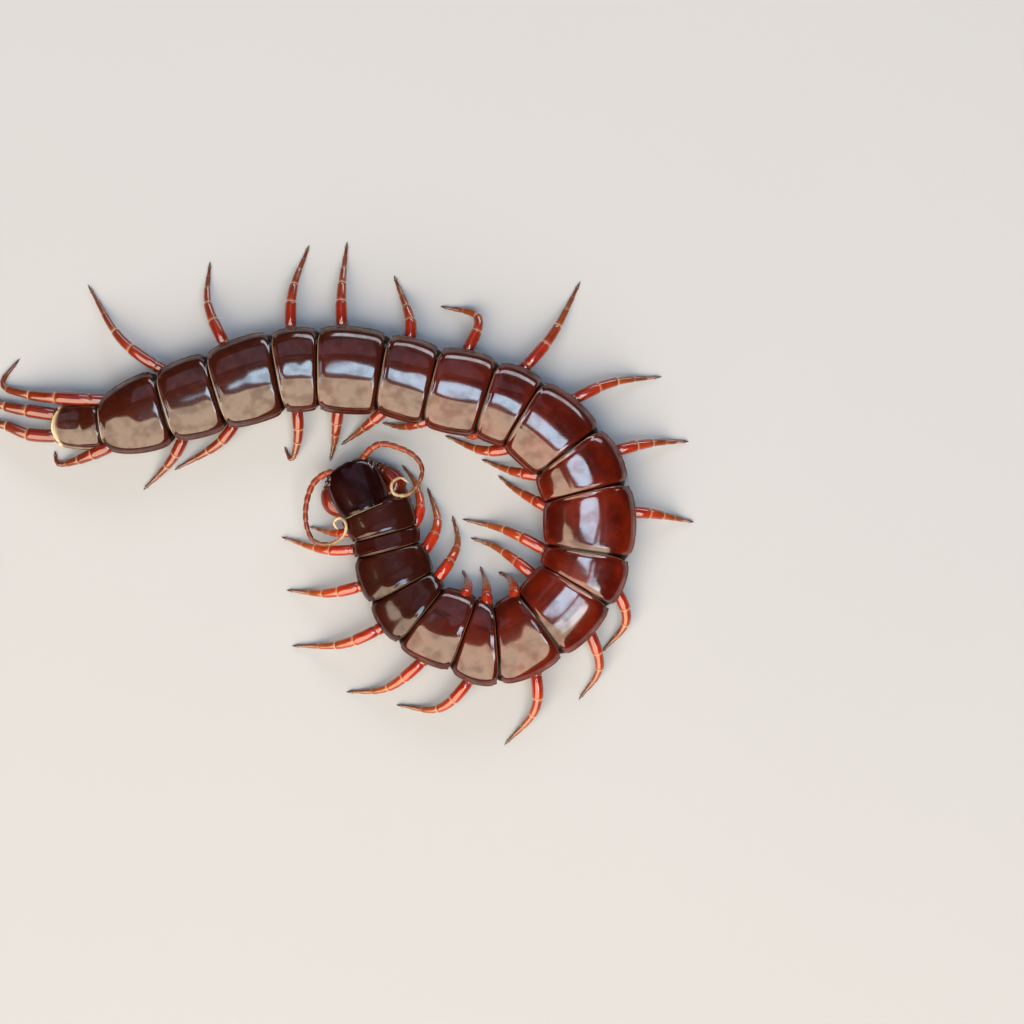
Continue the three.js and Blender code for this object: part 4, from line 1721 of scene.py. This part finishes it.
@dataclass
class Legs:
    """The twenty-one pairs of legs with their claws and spurs."""

    shop: Workshop
    form: TrunkForm
    radius: float = 0.98
    stout: dict[int, float] = field(default_factory=lambda: {1: 0.8, 2: 0.9, 20: 1.15, 21: 1.15})
    root: Point = (0.66, 0.55, 2.9)  # share of the segment, share of half its width, height
    tail_root: Point = (0.5, 0.42, 2.3)
    arch: float = 0.9
    tail_arch: float = 0.2
    tucked: dict[int, float] = field(default_factory=lambda: {1: -0.9, 4: 1.2, 5: 1.6, 6: 1.6, 7: 1.6})
    foot: float = 0.3
    claw_height: float = 0.14
    articles: tuple[Article, ...] = (
        Article(0.2, 0.97, 0.12, 0.86), Article(0.22, 0.92, 0.7, 0.82), Article(0.18, 0.7, 1.0, 0.8),
        Article(0.16, 0.5, 0.35, 0.86), Article(0.11, 0.36, 0.12, 0.92), Article(0.08, 0.22, 0.0, 0.95),
    )
    taper: float = 0.55
    claw_share: float = 0.06
    claw_width: float = 1.1
    sides: int = 18
    spur_reach: Stops = ((0, 0.9), (0.4, 0.92), (0.8, 0.42), (0.95, 0.22))
    foot_spurs: tuple[tuple[float, ...], ...] = (
        (0.86, 0.0, -0.55, 0.6), (0.93, 0.5, -0.1, 0.4), (0.93, -0.5, -0.1, 0.4),
    )
    tail_spurs_at: tuple[float, ...] = (0.24, 0.31, 0.37)
    tail_spur_rows: tuple[Span, ...] = ((-0.7, -0.3), (0.5, -0.6), (0.2, 0.7))
    tail_spur: float = 0.55

    def height(self, share: np.ndarray, root: float, arch: float) -> np.ndarray:
        """Lifts a leg's centre line off the floor.

        Args:
            share: Of the leg's length.
            root: Height at its root.
            arch: How far it bends upwards.

        Returns:
            The height at each share.
        """
        settle = 1 - step(0.15, 0.92, share)
        lift = arch * np.sin(np.pi * np.minimum(share / 0.8, 1))
        line = self.foot + (root - self.foot) * settle + lift
        return line + (self.claw_height * self.radius - line) * step(0.94, 1, share)

    def route(self, side: Side, number: int) -> Route:
        """Lays out a leg, from inside the trunk to the point of its claw.

        Args:
            side: Which side.
            number: Counted from 1 at the head.

        Returns:
            Its centre line.
        """
        is_last = number == self.form.count
        at, out, z = self.tail_root if is_last else self.root
        half, _ = self.form.size(number - 1, np.array([at]))
        root = self.form.at(number - 1, at, side.value * out * half, 0.0)[0]
        plan = Route([root, *((x, y, 0.0) for x, y in LEG_BENDS[side][number - 1])])
        arch = self.arch + (self.tucked.get(number, 0.0) if side is Side.RIGHT else 0.0)
        share = np.linspace(0, 1, 25)
        points = plan.by_length(share)
        points[:, 2] = self.height(share, z, self.tail_arch if is_last else arch)
        return Route(points)

    def build(self) -> None:
        """Makes the legs of both sides, then all their claws and spurs."""
        for side in Side:
            claws, spurs = [], []
            for number in range(1, self.form.count + 1):
                route, thick = self.route(side, number), self.stout.get(number, 1.0)
                self.build_leg(side, number, route, thick)
                claws.append(self.claw(route, thick))
                spurs += self.spurs(route, number, thick)
            horn = self.shop.finishes.claw
            self.shop.copies(f"leg_claws_{side.word}", thorn(0.25, 0.2, 10, 9), claws, horn, "legs")
            self.shop.copies(f"leg_spurs_{side.word}", thorn(0.1), spurs, horn, "legs")

    def build_leg(self, side: Side, number: int, route: Route, thick: float) -> None:
        """Makes one leg as far as its claw.

        Args:
            side: Which side.
            number: Counted from 1 at the head.
            route: Its centre line.
            thick: Multiplies its radius.
        """
        at, marks = jointed(self.articles, self.taper, self.radius * thick)
        marks["rear"] = np.full_like(at, number / self.form.count)
        points = route.by_length(at * (1 - self.claw_share))
        name = f"{side.word}_{number:02d}"
        finish = self.shop.finishes.leg
        self.shop.along("walking_leg_" + name, points, marks, self.sides, finish, "legs", ["leg_" + name])

    def claw(self, route: Route, thick: float) -> Spot:
        """Finds where a leg's claw stands.

        Args:
            route: The leg's centre line.
            thick: Multiplies the claw's width.

        Returns:
            Its spot.
        """
        end = 1 - self.claw_share
        before, root, tip = route.by_length([end - 0.01, end, 1.0])
        wide = self.claw_width * thick
        return root, tip - before + (0, 0, 0.12), (np.linalg.norm(tip - root), wide, wide)

    def spurs(self, route: Route, number: int, thick: float) -> list[Spot]:
        """Finds where a leg's spurs stand: at a walking leg's foot, or under a last leg's first long joint.

        Args:
            route: The leg's centre line.
            number: Counted from 1 at the head.
            thick: Multiplies the leg's radius.

        Returns:
            Their spots.
        """
        places = self.foot_spurs
        if number == self.form.count:
            rows = product(self.tail_spurs_at, self.tail_spur_rows)
            places = [(at, *row, self.tail_spur) for at, row in rows]
        found = []
        for at, out, up, length in places:
            here, ahead = route.by_length([at, at + 0.03])
            along = unit(ahead - here)
            side = unit(np.cross(along, UP))
            off = side * out + np.cross(side, along) * up
            reach = self.radius * thick * eased(at, self.spur_reach)
            found.append((here + off * reach, along + 0.8 * unit(off), (length, length, length)))
        return found


# The studio


@dataclass(frozen=True)
class SoftLight:
    """A flat lamp that faces the animal from a direction above it."""

    name: str
    tilt: float  # degrees from straight up
    turn: float  # degrees round, from +X towards +Y
    distance: float
    size: Span
    power: float
    colour: Colour

    def build(self, target: np.ndarray) -> None:
        """Hangs the lamp, its second side level.

        Args:
            target: What it faces.
        """
        data = bpy.data.lights.new(self.name, "AREA")
        data.shape = "RECTANGLE"
        data.size, data.size_y = self.size
        data.energy = self.power
        data.color = self.colour
        lamp = placed(self.name, data)
        tilt, turn = math.radians(self.tilt), math.radians(self.turn)
        way = np.array([math.sin(tilt) * math.cos(turn), math.sin(tilt) * math.sin(turn), math.cos(tilt)])
        lamp.location = target + self.distance * way
        lamp.rotation_euler = (0.0, tilt, turn)


@dataclass
class Studio:
    """A pale floor, soft lamps and a camera that looks straight down."""

    view_width: float = 158.72
    camera_height: float = 800.0
    focus_height: float = 5.0
    sensor: float = 36.0
    clip: Span = (0.01, 20.0)
    floor_size: float = 6.0
    ambient: float = 0.035
    ambient_colour: Colour = (0.9, 0.9, 1.0)
    lamps: tuple[SoftLight, ...] = (
        SoftLight("window", 2.6, 66, 1.2, (0.25, 0.3), 2.7, (0.56, 0.8, 1.0)),
        SoftLight("side_window", 21, -45, 1.25, (0.5, 0.2), 2.5, (0.6, 0.82, 1.0)),
        SoftLight("warm_panel", 43, -108, 1.2, (1.65, 1.6), 46.0, (1.0, 0.8, 0.58)),
        SoftLight("top_panel", 34, 102, 1.25, (0.7, 0.8), 0.8, (0.8, 0.75, 1.0)),
        SoftLight("rim_panel", 64, 70, 1.3, (0.3, 1.2), 7.0, (0.9, 0.92, 1.0)),
    )

    def build(self) -> None:
        """Makes the studio."""
        self.build_floor()
        for lamp in self.lamps:
            lamp.build(PLACE * MM)
        world = bpy.data.worlds.new("studio")
        world.use_nodes = True
        inputs = world.node_tree.nodes["Background"].inputs
        inputs["Color"].default_value = (*self.ambient_colour, 1.0)
        inputs["Strength"].default_value = self.ambient
        bpy.context.scene.world = world
        bpy.context.scene.view_settings.view_transform = "Standard"
        self.build_camera()

    def build_floor(self) -> None:
        """Makes a wide flat floor."""
        half = self.floor_size / 2
        corners = [(-half, -half, 0), (half, -half, 0), (half, half, 0), (-half, half, 0)]
        mesh = bpy.data.meshes.new("floor")
        mesh.from_pydata(corners, [], [(0, 1, 2, 3)])
        mesh.materials.append(PaleFloor().build())
        floor = placed("floor", mesh)

    def build_camera(self) -> None:
        """Sets a camera over the middle of the view, its top towards +Y."""
        data = bpy.data.cameras.new("camera")
        data.sensor_width = self.sensor
        data.lens = self.sensor * (self.camera_height - self.focus_height) / self.view_width
        data.clip_start, data.clip_end = self.clip
        camera = placed("camera", data)
        camera.location = (PLACE + UP * self.camera_height) * MM
        bpy.context.scene.camera = camera


def main() -> None:
    """Builds the animal and its studio in order."""
    logging.basicConfig(level=logging.INFO, format="%(name)s: %(message)s")
    form, shop = TrunkForm(), Workshop()
    head = Head(shop)
    trunk_nodes = [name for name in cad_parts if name.startswith("trunk_")]
    Flanks(shop, form, trunk_nodes).build()
    BackPlates(shop, form).build()
    BellyPlates(shop, form).build()
    head.build()
    VenomClaws(shop, head).build()
    Feelers(shop).build()
    Legs(shop, form).build()
    Studio().build()
    bpy.context.view_layer.update()


if __name__ == "__main__":
    main()
